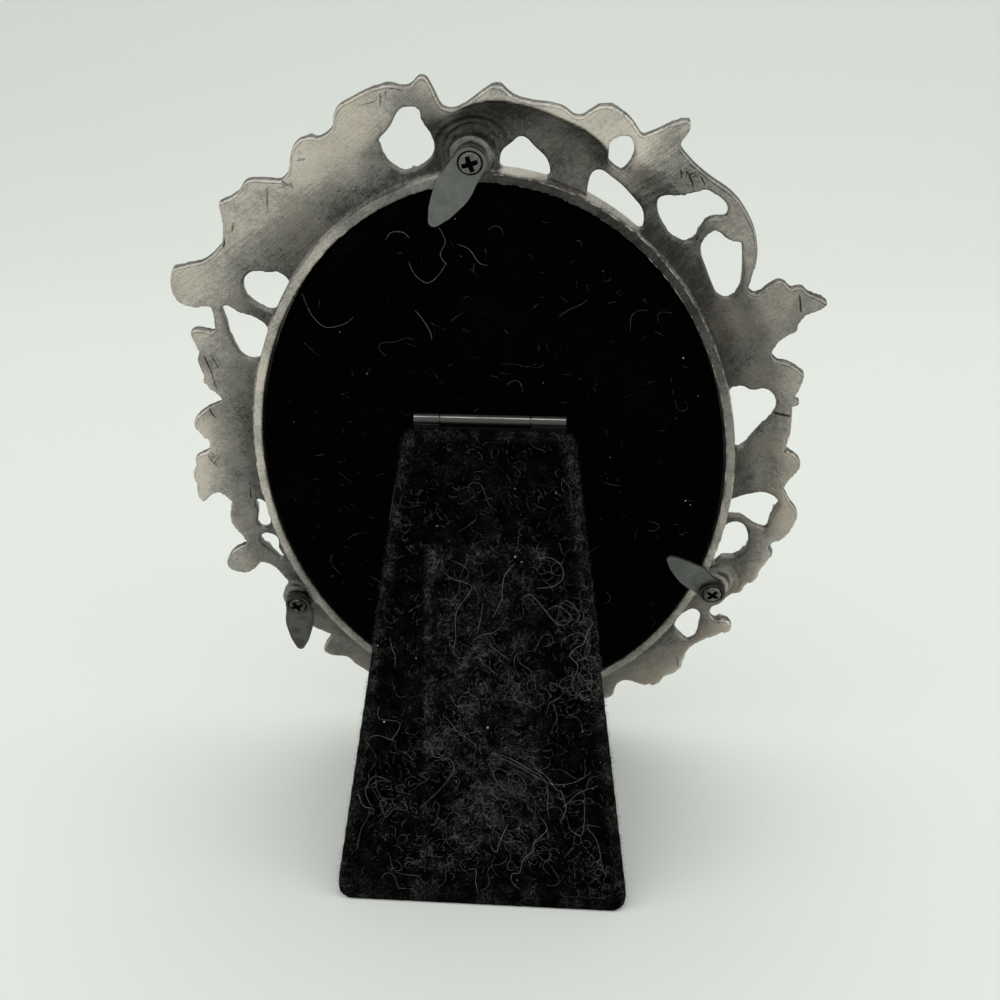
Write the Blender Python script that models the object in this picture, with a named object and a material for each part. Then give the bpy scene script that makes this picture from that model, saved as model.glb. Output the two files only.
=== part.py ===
"""Oval easel picture frame, cast leaf border, velvet-covered back and folding leg.

Metres, +Z up. The picture faces -Y and the leg stands behind it on +Y. The frame is
at rest on a table at z = 0 with its leg open.

Three working frames are used, each an empty:
  panel  centre of the oval on the rim's back face. X across, Z up the panel, Y out of the back
  leg    on the hinge axis. Z up the leg, Y out of its rear face
  button on each screw, like the panel's frame but turned to the blade's direction
"""

import math

import bmesh
import bpy
from mathutils import Matrix, Vector

MM = 0.001

# Opening at the back of the rim, for an oval print
OPENING_WIDTH = 89 * MM
OPENING_HEIGHT = 127 * MM

# Rim of the casting
RIM_WALL = 1.8 * MM
RIM_STAND = 3.4 * MM
LIP_REACH = 2.5 * MM
LIP_THICKNESS = 1.2 * MM
BEAD_RISE = 0.7 * MM

# Layers held in the rim, from the back
BACK_INSET = 0.5 * MM
VELVET = 0.5 * MM
BOARD = 1.4 * MM
CARD = 0.3 * MM
GLASS = 1.2 * MM
LAYER_GAP = 0.2 * MM
EDGE_GAP = 0.4 * MM

# Leaf border of the casting
BORDER_THICKNESS = 1.7 * MM
BORDER_EDGE_DEPTH = 0.3 * MM
TROUGH_CENTRE = 4.0 * MM
TROUGH_HALF_WIDTH = 7.5 * MM
BORDER_REACH = 24 * MM
BORDER_ROOT = 1.0 * MM
HOLE_ROOT = 1.4 * MM
FOOT_REACH = 9.6 * MM

# Depth of the hollow beside the rim, by clock angle seen from behind
TROUGH_DEPTHS = [
    (0, 3.2 * MM), (30, 3.1 * MM), (60, 2.7 * MM), (120, 2.6 * MM), (180, 2.6 * MM),
    (240, 2.6 * MM), (290, 2.4 * MM), (305, 1.9 * MM), (320, 1.6 * MM), (340, 1.7 * MM),
    (352, 2.6 * MM), (360, 3.2 * MM),
]

# Stance
PANEL_LEAN = math.radians(14.7)
LEG_LEAN = math.radians(19.0)

# Turn buttons and their screws
BUTTON_THICKNESS = 0.6 * MM
BUTTON_LENGTH = 13.4 * MM
BUTTON_WIDTH = 6.0 * MM
BUTTON_LIFT = 0.3 * MM
HUB_RADIUS = 2.75 * MM
COLLAR_HEIGHT = 0.7 * MM
COLLAR_WALL = 0.5 * MM
SCREW_HEAD_RADIUS = 2.0 * MM
SCREW_HEAD_HEIGHT = 1.2 * MM
SCREW_RADIUS = 1.0 * MM
SCREW_BITE = 3.2 * MM
BOSS_RADIUS = 3.6 * MM
BOSS_DROP = 0.15 * MM
BOSS_ROOT = 0.35 * MM
TURN_GAP = 0.1 * MM

# Each button: clock angle and reach of its screw beyond the rim, in leaf units, the way its
# blade points, and how far it is bent up off the back, in degrees
BUTTONS = {
    "top": (358.6, 2.6, 211.0, 0.0),
    "right": (120.7, 2.4, 314.0, 0.0),
    "left": (231.4, 3.3, 184.0, 8.5),
}

# Easel hinge
HINGE_ABOVE_CENTRE = 16.7 * MM
HINGE_LENGTH = 28.2 * MM
KNUCKLE_LEFT = 4.8 * MM
KNUCKLE_RIGHT = 6.5 * MM
BARREL_RADIUS = 1.0 * MM
BARREL_CLEAR = 0.5 * MM
PIN_RADIUS = 0.45 * MM
PIN_GAP = 0.1 * MM
KNUCKLE_GAP = 0.2 * MM
LEAF_THICKNESS = 0.5 * MM
LEAF_LENGTH = 11 * MM
POCKET_GAP = 0.1 * MM
RIVET_RADIUS = 0.9 * MM
RIVET_HEAD_RADIUS = 1.7 * MM
RIVET_HEAD = 0.35 * MM
RIVET_SPREAD = 16 * MM
RIVET_DROP = 6.6 * MM
RIVET_GAP = 0.1 * MM

# Leg
LEG_TOP_WIDTH = 31.2 * MM
LEG_FOOT_WIDTH = 57 * MM
LEG_BOARD = 1.8 * MM
LEG_VELVET = 0.6 * MM
LEG_LINING = 0.4 * MM
LEG_TOP_GAP = 0.6 * MM
LEG_CORNER = 3.2 * MM
FOLD_GAP = 0.4 * MM

# Unit of the reaches in the tables of the border's edge, its openings and the buttons
LEAF_UNIT = 1 * MM

# Facets
OVAL_STEPS = 96
BORDER_STEPS = 8
CURVE_STEPS = 3
ROUND_STEPS = 24
ARC_STEPS = 5

# Handles of a crisp point in the tables below. The other points lie on smooth curves.
CORNER = "VECTOR"

# The border's edge, clockwise from the large leaf at the upper left as seen from behind.
# Each point is a clock angle in degrees and a reach beyond the rim in leaf units.
BORDER_EDGE = [
    # large leaf, upper left to top
    (323.5, 17.6, CORNER), (326.8, 15.9), (328.5, 16.2), (330.4, 14.6), (332.6, 12.0, CORNER),
    (334.3, 12.2), (335.8, 14.1), (337.3, 15.0), (338.9, 14.5), (340.2, 13.4), (342.3, 13.7, CORNER),
    (343.4, 15.9), (345.5, 16.3), (349.7, 16.4), (352.3, 15.2), (353.9, 16.4), (354.8, 14.3),
    (355.8, 10.8),
    # low scallops over the top button
    (356.7, 10.3), (358.8, 11.6), (359.9, 12.7), (2.1, 14.3), (3.6, 12.9), (5.3, 12.4),
    (9.4, 12.7), (11.5, 12.0), (12.9, 14.0), (14.0, 15.3), (16.9, 15.3), (19.3, 13.7, CORNER),
    # pointed tip and the thin vine at the upper right
    (20.7, 15.9), (22.2, 18.6), (23.5, 19.9), (24.0, 18.3), (23.8, 16.2), (25.1, 15.4),
    (28.9, 15.3), (32.7, 16.2), (36.0, 16.0), (39.0, 15.1), (41.7, 13.2), (44.2, 10.2),
    (45.4, 9.0, CORNER),
    # spiked leaf on the right
    (46.6, 10.0, CORNER), (46.4, 13.2), (46.9, 14.9), (48.9, 15.7, CORNER), (49.6, 17.6),
    (50.8, 18.0, CORNER), (53.2, 20.2), (54.1, 20.7, CORNER), (54.3, 18.7), (53.9, 16.7, CORNER),
    (54.8, 14.8), (55.8, 14.4, CORNER), (55.8, 11.6), (58.0, 8.8, CORNER), (59.7, 9.4),
    (60.7, 11.3), (64.1, 13.7, CORNER), (66.2, 12.6),
    # nub left by the casting
    (68.4, 11.1, CORNER), (68.9, 12.1, CORNER), (69.7, 11.9, CORNER), (69.8, 10.8, CORNER),
    (73.2, 10.5), (77.0, 10.0), (80.4, 9.3, CORNER), (81.0, 10.9), (83.5, 12.2), (86.4, 11.0),
    (89.7, 9.6, CORNER),
    # lobed leaf, lower right
    (92.8, 11.4), (95.2, 13.2), (98.5, 13.2), (101.5, 12.3), (105.0, 10.0, CORNER),
    (106.4, 11.3, CORNER), (109.0, 11.0), (112.5, 10.3, CORNER), (114.0, 10.7),
    (116.5, 9.4, CORNER), (119.0, 9.2, CORNER), (121.6, 7.7), (125.2, 7.1), (127.2, 6.2),
    # bud on its stalk
    (129.2, 7.5), (127.4, 9.8), (127.2, 11.6), (128.6, 12.4, CORNER), (131.2, 10.7), (135.3, 9.0),
    # leaf at the lower right
    (138.8, 8.5), (141.3, 9.9), (143.6, 10.9), (146.4, 9.9), (148.6, 10.6), (151.9, 8.5),
    (154.2, 6.2), (156.4, 6.1), (158.3, 8.1), (160.8, 7.8),
    # foot leaf, right
    (163.5, 10.0), (166.0, 13.4), (172.0, 13.0), (174.5, 9.0), (177.0, 6.2),
    # small middle leaf
    (180.0, 7.2), (183.0, 6.2),
    # foot leaf, left
    (185.5, 9.0), (188.0, 13.0), (194.0, 13.4), (197.0, 9.5), (200.0, 6.4), (203.5, 7.0),
    # small leaf, lower left
    (208.0, 7.4), (210.6, 7.4), (212.5, 7.2), (215.4, 8.9), (217.6, 9.7, CORNER),
    (218.1, 7.6), (218.0, 5.3, CORNER), (221.5, 6.6),
    # boss of the left button
    (226.0, 7.8), (229.0, 8.4), (231.6, 7.5), (233.6, 4.6), (237.5, 4.9), (240.8, 5.5),
    # bud on its stalk
    (243.6, 7.2, CORNER), (242.9, 9.6), (243.8, 11.9), (246.2, 14.0), (248.2, 12.8), (249.7, 10.2),
    (249.3, 7.8, CORNER),
    # lobed leaf, left
    (252.6, 8.1), (256.2, 8.9), (259.5, 8.3), (261.7, 7.5, CORNER), (265.1, 9.6),
    (263.2, 12.6, CORNER), (264.4, 13.4), (268.0, 13.0, CORNER), (270.1, 13.3),
    (272.4, 12.2, CORNER), (274.6, 12.0), (276.1, 9.3, CORNER), (278.8, 9.2), (280.5, 10.6),
    (283.0, 11.5), (285.9, 9.9), (288.1, 7.2), (288.6, 6.0, CORNER),
    # upper lobed leaf, left
    (290.5, 7.3), (292.8, 9.7), (294.8, 9.8, CORNER), (296.6, 11.1), (299.4, 11.2, CORNER),
    (302.1, 13.5, CORNER), (303.6, 12.2), (304.1, 8.8, CORNER),
    # outer lobe of the large leaf
    (307.0, 10.0), (308.9, 11.2, CORNER), (306.9, 14.1), (306.5, 16.8), (308.8, 19.0),
    (310.8, 19.4, CORNER), (313.0, 17.1), (315.2, 14.9), (319.4, 13.5, CORNER), (321.6, 15.0),
]

# Openings pierced in the border, in the same terms. ROOT marks a point inside the rim's wall.
ROOT = -HOLE_ROOT / LEAF_UNIT
BORDER_HOLES = [
    # between the large leaf and the top button
    [(350.8, 12.2), (352.9, 11.7, CORNER), (352.8, 9.4, CORNER), (353.5, 5.8), (353.4, 3.2),
     (351.6, 1.6), (348.5, 1.6, CORNER), (346.9, 4.1), (346.8, 8.3, CORNER), (349.1, 10.0)],
    # right of the top button, down to the rim
    [(2.4, 2.0), (3.9, 4.1), (5.1, 5.4), (6.8, 4.1), (9.1, 2.0), (9.1, ROOT), (6.2, ROOT), (3.4, ROOT)],
    # small eye under the scallops
    [(15.9, 10.2, CORNER), (16.7, 11.7), (18.1, 12.9, CORNER), (19.1, 11.0), (19.2, 7.4),
     (18.8, 5.9, CORNER), (16.8, 6.4, CORNER)],
    # long slot beside the rim
    [(15.2, 1.6), (15.6, 4.0), (18.2, 4.2), (22.0, 3.4), (24.6, 2.3), (25.0, ROOT), (20.5, ROOT),
     (16.0, ROOT)],
    # two eyes inside the vine
    [(25.4, 6.7), (27.6, 10.0), (29.5, 13.5, CORNER), (32.8, 14.4), (34.4, 13.0, CORNER),
     (32.6, 10.8), (32.7, 7.6), (33.3, 5.0), (31.6, 3.3), (28.4, 3.2), (25.8, 4.9)],
    [(34.4, 7.5), (34.5, 10.0), (36.5, 10.6, CORNER), (38.2, 12.5, CORNER), (41.2, 10.3),
     (44.6, 7.2), (45.1, 5.0), (43.0, 3.5, CORNER), (38.6, 4.2), (35.6, 5.3)],
    # right side, down to the rim
    [(62.0, ROOT), (62.9, 2.1), (65.3, 4.2), (65.4, 6.6), (68.2, 8.0), (71.8, 7.0), (75.4, 4.2),
     (79.0, 1.8, CORNER), (77.8, ROOT), (70.0, ROOT)],
    # lower right, outer and inner
    [(96.0, ROOT), (93.4, 3.6), (92.0, 7.8), (93.4, 9.4, CORNER), (97.6, 8.5),
     (101.3, 8.4, CORNER), (101.6, 5.7), (100.1, 3.2), (99.6, 0.6)],
    [(102.4, 0.5), (102.0, 3.3), (103.6, 5.0), (109.0, 6.1), (112.6, 4.5, CORNER), (113.2, 2.2),
     (115.5, 0.8), (109.0, ROOT)],
    # beside the lower bud
    [(131.2, 1.9), (130.2, 4.2), (132.8, 6.3), (137.2, 7.1), (137.9, 4.2), (136.0, 1.4)],
    # left side, upper and lower
    [(318.0, 7.1), (320.2, 4.4), (322.3, 1.6), (321.4, ROOT), (316.6, ROOT), (314.6, 0.8),
     (313.5, 4.4), (314.5, 6.5)],
    [(310.3, 8.9), (310.1, 6.2), (311.3, 2.4), (310.8, ROOT), (305.4, ROOT), (302.5, 0.9), (301.4, 2.9),
     (303.8, 5.6), (307.4, 7.6)],
    # two slits by the rim, lower left
    [(260.5, 2.7), (261.4, 1.1), (257.0, 0.6), (252.3, 2.0), (252.4, 3.9), (257.4, 2.9)],
    [(249.9, 4.7), (250.2, 2.4), (249.0, 1.0), (245.4, 2.0), (241.6, 2.3), (244.8, 4.0), (247.6, 5.0)],
]

# Worked out from the sizes above
OPENING_HALF = (OPENING_WIDTH / 2, OPENING_HEIGHT / 2)
RIM_HALF = (OPENING_HALF[0] + RIM_WALL, OPENING_HALF[1] + RIM_WALL)
PACK_HALF = (OPENING_HALF[0] - EDGE_GAP, OPENING_HALF[1] - EDGE_GAP)
VELVET_BACK = -BACK_INSET
BOARD_BACK = VELVET_BACK - VELVET - LAYER_GAP
BOARD_FRONT = BOARD_BACK - BOARD
CARD_BACK = BOARD_FRONT - LAYER_GAP
GLASS_BACK = CARD_BACK - CARD - LAYER_GAP
LIP_BACK = GLASS_BACK - GLASS - LAYER_GAP
LIP_FRONT = LIP_BACK - LIP_THICKNESS
BORDER_FACE = BORDER_EDGE_DEPTH + BORDER_THICKNESS / 2
PANEL_HEIGHT = (RIM_HALF[1] + FOOT_REACH) * math.cos(PANEL_LEAN) - BORDER_FACE * math.sin(PANEL_LEAN)
AXIS_BACK = VELVET_BACK + BARREL_CLEAR + BARREL_RADIUS
STRAP_FOOT = HINGE_ABOVE_CENTRE - BARREL_RADIUS
STRAP_TOP = STRAP_FOOT + LEAF_THICKNESS
AXIS_HEIGHT = (
    PANEL_HEIGHT + HINGE_ABOVE_CENTRE * math.cos(PANEL_LEAN) - AXIS_BACK * math.sin(PANEL_LEAN)
)
LEG_FRONT = FOLD_GAP - AXIS_BACK
LEG_BOARD_FRONT = LEG_FRONT + LEG_LINING + LAYER_GAP / 2
LEG_BOARD_REAR = LEG_BOARD_FRONT + LEG_BOARD
LEG_REAR = LEG_BOARD_REAR + LAYER_GAP / 2 + LEG_VELVET
LEG_TOP = -(BARREL_RADIUS + LEG_TOP_GAP)
LEG_FOOT = -(AXIS_HEIGHT + LEG_REAR * math.sin(LEG_LEAN)) / math.cos(LEG_LEAN)
BUTTON_TOP = BUTTON_LIFT + BUTTON_THICKNESS
SCREW_SEAT = BUTTON_TOP + TURN_GAP

COLOURS = {
    "pewter": ((0.33, 0.32, 0.30), 0.42, 1.0),
    "button_steel": ((0.27, 0.29, 0.27), 0.45, 1.0),
    "screw_steel": ((0.36, 0.35, 0.33), 0.32, 1.0),
    "black_metal": ((0.03, 0.03, 0.032), 0.35, 0.6),
    "rivet_steel": ((0.45, 0.45, 0.44), 0.4, 1.0),
    "velvet": ((0.004, 0.004, 0.005), 0.95, 0.0),
    "board": ((0.30, 0.23, 0.15), 0.9, 0.0),
    "card": ((0.80, 0.78, 0.72), 0.85, 0.0),
    "glass": ((0.90, 0.95, 0.93), 0.05, 0.0),
}


def clear_scene():
    for obj in list(bpy.data.objects):
        bpy.data.objects.remove(obj, do_unlink=True)


def new_collection(name):
    collection = bpy.data.collections.new(name)
    bpy.context.scene.collection.children.link(collection)
    return collection


def make_materials():
    materials = {}
    for name, (colour, roughness, metallic) in COLOURS.items():
        material = bpy.data.materials.new(name)
        material.use_nodes = True
        shader = material.node_tree.nodes["Principled BSDF"]
        shader.inputs["Base Color"].default_value = (*colour, 1)
        shader.inputs["Roughness"].default_value = roughness
        shader.inputs["Metallic"].default_value = metallic
        material.diffuse_color = (*colour, 1)
        materials[name] = material
    return materials


def new_empty(name, parent=None, location=(0, 0, 0), turn=0.0, axis="X"):
    empty = bpy.data.objects.new(name, None)
    empty.empty_display_size = LEG_FOOT_WIDTH / 5
    empty.matrix_basis = Matrix.Translation(location) @ Matrix.Rotation(turn, 4, axis)
    empty.parent = parent
    parts.objects.link(empty)
    return empty


def object_from(name, mesh, parent, material):
    obj = bpy.data.objects.new(name, mesh)
    obj.parent = parent
    mesh.materials.clear()
    mesh.materials.append(materials[material])
    mesh.shade_smooth()
    mesh.set_sharp_from_angle(angle=math.radians(35))
    parts.objects.link(obj)
    return obj


def as_cutter(obj):
    parts.objects.unlink(obj)
    cutters.objects.link(obj)
    obj.hide_render = True
    obj.display_type = "WIRE"
    return obj


def combine(obj, other, operation):
    modifier = obj.modifiers.new(operation.lower(), "BOOLEAN")
    modifier.operation = operation
    modifier.solver = "EXACT"
    modifier.object = as_cutter(other)


def mesh_from(name, form):
    mesh = bpy.data.meshes.new(name)
    bmesh.ops.recalc_face_normals(form, faces=form.faces)
    form.to_mesh(mesh)
    form.free()
    return mesh


def box(name, parent, low, high, material="pewter"):
    """A block between two corners of its parent's frame."""
    low = Vector(low)
    high = Vector(high)
    form = bmesh.new()
    bmesh.ops.create_cube(form, size=1)
    size = high - low
    place = Matrix.Translation((low + high) / 2) @ Matrix.Diagonal((*size, 1))
    bmesh.ops.transform(form, matrix=place, verts=form.verts)
    return object_from(name, mesh_from(name, form), parent, material)


def turned(name, parent, profile, material="pewter", oval=(0, 0), closed=False, steps=None):
    """A profile of (reach, level) carried round the frame's Y axis, on a circle or about an oval.

    A closed profile makes a ring. An open one gets a flat cap at each end.
    """
    steps = steps or ROUND_STEPS
    form = bmesh.new()
    rings = []
    for reach, level in profile:
        ring = []
        for step in range(steps):
            angle = math.tau * step / steps
            across = (oval[0] + reach) * math.sin(angle)
            up = (oval[1] + reach) * math.cos(angle)
            ring.append(form.verts.new((across, level, up)))
        rings.append(ring)
    pairs = list(zip(rings, rings[1:]))
    if closed:
        pairs.append((rings[-1], rings[0]))
    else:
        form.faces.new(rings[0])
        form.faces.new(rings[-1])
    for ring, following in pairs:
        for step in range(steps):
            after = (step + 1) % steps
            form.faces.new((ring[step], ring[after], following[after], following[step]))
    return object_from(name, mesh_from(name, form), parent, material)


def oval_plate(name, parent, half, back, front, material):
    """An oval sheet between two levels of the panel."""
    return turned(name, parent, [(0, back), (0, front)], material, half, steps=OVAL_STEPS)


def cylinder(name, parent, radius, low, high, at=(0, 0), material="pewter"):
    """A plain round bar along its frame's Y axis."""
    obj = turned(name, parent, [(radius, high), (radius, low)], material)
    obj.data.transform(Matrix.Translation((at[0], 0, at[1])))
    return obj


def flat_form(name, parent, outlines, back, front, material="pewter", smooth=False, along="Y"):
    """A sheet with the given outlines, the first its edge and the others holes.

    Along Y an outline is (across, up), and along X it is (out of the back, up).
    """
    curve = bpy.data.curves.new(name, "CURVE")
    curve.dimensions = "2D"
    curve.fill_mode = "BOTH"
    curve.extrude = (back - front) / 2
    curve.resolution_u = CURVE_STEPS
    for outline in outlines:
        spline = curve.splines.new("BEZIER" if smooth else "POLY")
        spline.use_cyclic_u = True
        if smooth:
            spline.bezier_points.add(len(outline) - 1)
            for point, (across, up, *corner) in zip(spline.bezier_points, outline):
                point.co = (across, up, 0)
                point.handle_left_type = corner[0] if corner else "AUTO"
                point.handle_right_type = point.handle_left_type
        else:
            spline.points.add(len(outline) - 1)
            for point, (across, up) in zip(spline.points, outline):
                point.co = (across, up, 0, 1)
    guide = bpy.data.objects.new(name + "_outline", curve)
    cutters.objects.link(guide)
    bpy.context.view_layer.update()
    seen = guide.evaluated_get(bpy.context.evaluated_depsgraph_get())
    mesh = bpy.data.meshes.new_from_object(seen)
    bpy.data.objects.remove(guide, do_unlink=True)
    form = bmesh.new()
    form.from_mesh(mesh)
    bmesh.ops.remove_doubles(form, verts=form.verts, dist=0.002 * MM)
    middle = (back + front) / 2
    if along == "Y":
        place = Matrix.Translation((0, middle, 0)) @ Matrix.Rotation(math.pi / 2, 4, "X")
    else:
        turn = Matrix.Rotation(math.pi / 2, 4, "Z") @ Matrix.Rotation(math.pi / 2, 4, "X")
        place = Matrix.Translation((middle, 0, 0)) @ turn
    bmesh.ops.transform(form, matrix=place, verts=form.verts)
    return object_from(name, mesh_from(name, form), parent, material)


def arc(centre, radius, start, end, steps):
    """Points of an arc between two angles, both ends included."""
    spots = []
    for step in range(steps + 1):
        angle = start + (end - start) * step / steps
        spots.append((centre[0] + radius * math.cos(angle), centre[1] + radius * math.sin(angle)))
    return spots


def circle(centre, radius, steps):
    return arc(centre, radius, 0, math.tau, steps)[:-1]


def border_point(clock, reach):
    """Across and up the panel, for a clock angle seen from behind and a reach in leaf units."""
    angle = math.radians(clock)
    edge = 1 / math.hypot(math.sin(angle) / RIM_HALF[0], math.cos(angle) / RIM_HALF[1])
    far = edge + reach * LEAF_UNIT
    return (-far * math.sin(angle), far * math.cos(angle))


def trough_depth(clock):
    """Depth of the hollow at a clock angle, eased from one named depth to the next."""
    clock %= 360
    for (before, depth), (after, next_depth) in zip(TROUGH_DEPTHS, TROUGH_DEPTHS[1:]):
        if before <= clock <= after:
            share = (clock - before) / (after - before)
            return depth + (next_depth - depth) * (1 - math.cos(math.pi * share)) / 2


def trough_level(reach, clock):
    """Back of the border: a hollow beside the rim that rises to the flat outer leaves."""
    offset = min(1, abs(reach - TROUGH_CENTRE) / TROUGH_HALF_WIDTH)
    hollow = (1 + math.cos(math.pi * offset)) / 2
    return -BORDER_EDGE_DEPTH - (trough_depth(clock) - BORDER_EDGE_DEPTH) * hollow


def make_dish():
    """Sheet of even thickness round the rim that the border is cut from."""
    section = []
    for step in range(BORDER_STEPS + 1):
        section.append((-BORDER_ROOT + (BORDER_REACH + BORDER_ROOT) * step / BORDER_STEPS, 0))
    section += [(reach, -BORDER_THICKNESS) for reach, _ in reversed(section)]
    form = bmesh.new()
    rings = []
    for step in range(OVAL_STEPS):
        angle = math.tau * (step + 0.5) / OVAL_STEPS
        ring = []
        for reach, drop in section:
            across = (RIM_HALF[0] + reach) * math.sin(angle)
            up = (RIM_HALF[1] + reach) * math.cos(angle)
            level = trough_level(reach, math.degrees(math.atan2(-across, up))) + drop
            ring.append(form.verts.new((across, level, up)))
        rings.append(ring)
    for ring, following in zip(rings, rings[1:] + rings[:1]):
        for step in range(len(section)):
            after = (step + 1) % len(section)
            form.faces.new((ring[step], ring[after], following[after], following[step]))
    return object_from("border_dish", mesh_from("border_dish", form), panel, "pewter")


def wedge(half_top, half_foot, top, foot, corner):
    """The leg's outline, wider at the foot, with rounded corners."""
    corners = [(half_top, top), (half_foot, foot), (-half_foot, foot), (-half_top, top)]
    points = []
    for index, spot in enumerate(corners):
        here = Vector(spot)
        before = (Vector(corners[index - 1]) - here).normalized()
        after = (Vector(corners[(index + 1) % 4]) - here).normalized()
        half_angle = before.angle(after) / 2
        middle = here + (before + after).normalized() * corner / math.sin(half_angle)
        start = here + before * corner / math.tan(half_angle) - middle
        sweep = math.pi - 2 * half_angle
        for step in range(ARC_STEPS + 1):
            turn = Matrix.Rotation(-sweep * step / ARC_STEPS, 2)
            points.append(tuple(middle + turn @ start))
    return points


def leg_half_width(level):
    """Half the leg's width at a level of the leg's frame."""
    share = (level - LEG_TOP) / (LEG_FOOT - LEG_TOP)
    return (LEG_TOP_WIDTH + (LEG_FOOT_WIDTH - LEG_TOP_WIDTH) * share) / 2


def leg_sheet(name, inset, foot_rise, rear, front, material):
    """A sheet of the leg's shape, drawn in from its edges by the same amount all round."""
    top = LEG_TOP - inset
    foot = LEG_FOOT + foot_rise
    outline = wedge(
        leg_half_width(top) - inset,
        leg_half_width(foot) - inset,
        top,
        foot,
        LEG_CORNER - inset,
    )
    return flat_form(name, leg, [outline], rear, front, material)


def make_casting():
    """Rim with its rebate and front bead, pierced leaf border, three screw bosses, flat feet."""
    inner = -RIM_WALL
    sight = inner - LIP_REACH
    profile = [
        (0, 0),
        (0, -RIM_STAND),
        (inner, LIP_FRONT + BEAD_RISE),
        (inner - LIP_REACH / 2, LIP_FRONT),
        (sight, LIP_FRONT + BEAD_RISE / 2),
        (sight, LIP_BACK),
        (inner, LIP_BACK),
        (inner, 0),
    ]
    casting = turned("frame_casting", panel, profile, "pewter", RIM_HALF, True, OVAL_STEPS)
    border = make_dish()
    edges = []
    for loop in [BORDER_EDGE] + BORDER_HOLES:
        edges.append([(*border_point(clock, reach), *corner) for clock, reach, *corner in loop])
    high = BORDER_THICKNESS
    low = -max(depth for _, depth in TROUGH_DEPTHS) - 2 * BORDER_THICKNESS
    outline = flat_form("border_outline", panel, edges, high, low, smooth=True)
    combine(border, outline, "INTERSECT")
    combine(casting, border, "UNION")
    for name, (clock, reach, *_) in BUTTONS.items():
        spot = border_point(clock, reach)
        foot = trough_level(reach * LEAF_UNIT, clock) - BOSS_ROOT
        combine(casting, cylinder("boss_" + name, panel, BOSS_RADIUS, foot, -BOSS_DROP, spot), "UNION")
    for name, (clock, reach, *_) in BUTTONS.items():
        spot = border_point(clock, reach)
        radius = SCREW_RADIUS + TURN_GAP
        hole = cylinder("screw_hole_" + name, panel, radius, -SCREW_BITE - TURN_GAP, SCREW_BITE, spot)
        combine(casting, hole, "DIFFERENCE")
    wide = OPENING_HEIGHT
    trim = box("table_trim", origin, (-wide, -wide, -BORDER_REACH), (wide, wide, 0))
    combine(casting, trim, "DIFFERENCE")


def make_picture_pack():
    """Glass, card, and the velvet-covered board, dropped in from the back."""
    oval_plate("glass_pane", panel, PACK_HALF, GLASS_BACK, GLASS_BACK - GLASS, "glass")
    oval_plate("picture_card", panel, PACK_HALF, CARD_BACK, CARD_BACK - CARD, "card")
    wrap = VELVET + LAYER_GAP
    board_half = (PACK_HALF[0] - wrap, PACK_HALF[1] - wrap)
    board = oval_plate("back_board", panel, board_half, BOARD_BACK, BOARD_FRONT, "board")
    velvet = oval_plate("back_velvet", panel, PACK_HALF, VELVET_BACK, BOARD_FRONT, "velvet")
    inside = (PACK_HALF[0] - VELVET, PACK_HALF[1] - VELVET)
    well = oval_plate(
        "velvet_well", panel, inside, VELVET_BACK - VELVET, BOARD_FRONT - VELVET, "velvet"
    )
    combine(velvet, well, "DIFFERENCE")
    half_leaf = HINGE_LENGTH / 2 + POCKET_GAP
    top = STRAP_TOP + POCKET_GAP
    foot = HINGE_ABOVE_CENTRE - LEAF_LENGTH - POCKET_GAP
    floor = BOARD_BACK - LEAF_THICKNESS - POCKET_GAP
    pocket = box("board_pocket", panel, (-half_leaf, floor, foot), (half_leaf, BARREL_RADIUS, top))
    combine(board, pocket, "DIFFERENCE")
    slot_foot = STRAP_FOOT - POCKET_GAP
    near = KNUCKLE_RIGHT + POCKET_GAP - HINGE_LENGTH / 2
    far = HINGE_LENGTH / 2 - KNUCKLE_LEFT - POCKET_GAP
    slot = box("velvet_slot", panel, (near, BOARD_BACK - BOARD / 2, slot_foot), (far, BARREL_RADIUS, top))
    combine(velvet, slot, "DIFFERENCE")
    return board


def make_rivet(name, parent, tail, head, at):
    """A flush rivet along Y from its tail to the outer face of its head."""
    under = head + math.copysign(RIVET_HEAD, tail - head)
    profile = [
        (RIVET_RADIUS, tail),
        (RIVET_RADIUS, under),
        (RIVET_HEAD_RADIUS, under),
        (RIVET_HEAD_RADIUS, head),
    ]
    obj = turned(name, parent, profile, "rivet_steel", steps=16)
    obj.data.transform(Matrix.Translation((at[0], 0, at[1])))


def make_rivet_hole(name, sheet, parent, tail, head, at):
    """Clearance for a rivet, with a counterbore for its head."""
    way = math.copysign(1, tail - head)
    under = head + way * (RIVET_HEAD + RIVET_GAP)
    profile = [
        (RIVET_RADIUS + RIVET_GAP, tail + way * BOARD),
        (RIVET_RADIUS + RIVET_GAP, under),
        (RIVET_HEAD_RADIUS + RIVET_GAP, under),
        (RIVET_HEAD_RADIUS + RIVET_GAP, head - way * BOARD),
    ]
    hole = turned(name, parent, profile, steps=16)
    hole.data.transform(Matrix.Translation((at[0], 0, at[1])))
    combine(sheet, hole, "DIFFERENCE")


def make_rivets(which, parent, board, leaf, tail, head, level):
    """A pair of rivets through a board and its hinge leaf."""
    for side, name in ((1, "left"), (-1, "right")):
        at = (side * RIVET_SPREAD / 2, level)
        make_rivet("hinge_rivet_" + which + "_" + name, parent, tail, head, at)
        make_rivet_hole("seat_" + which + "_" + name, board, parent, tail, head, at)
        radius = RIVET_RADIUS + RIVET_GAP
        reach = BARREL_RADIUS * 3
        hole = cylinder("pierce_" + which + "_" + name, parent, radius, -reach, reach, at)
        combine(leaf, hole, "DIFFERENCE")


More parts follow.
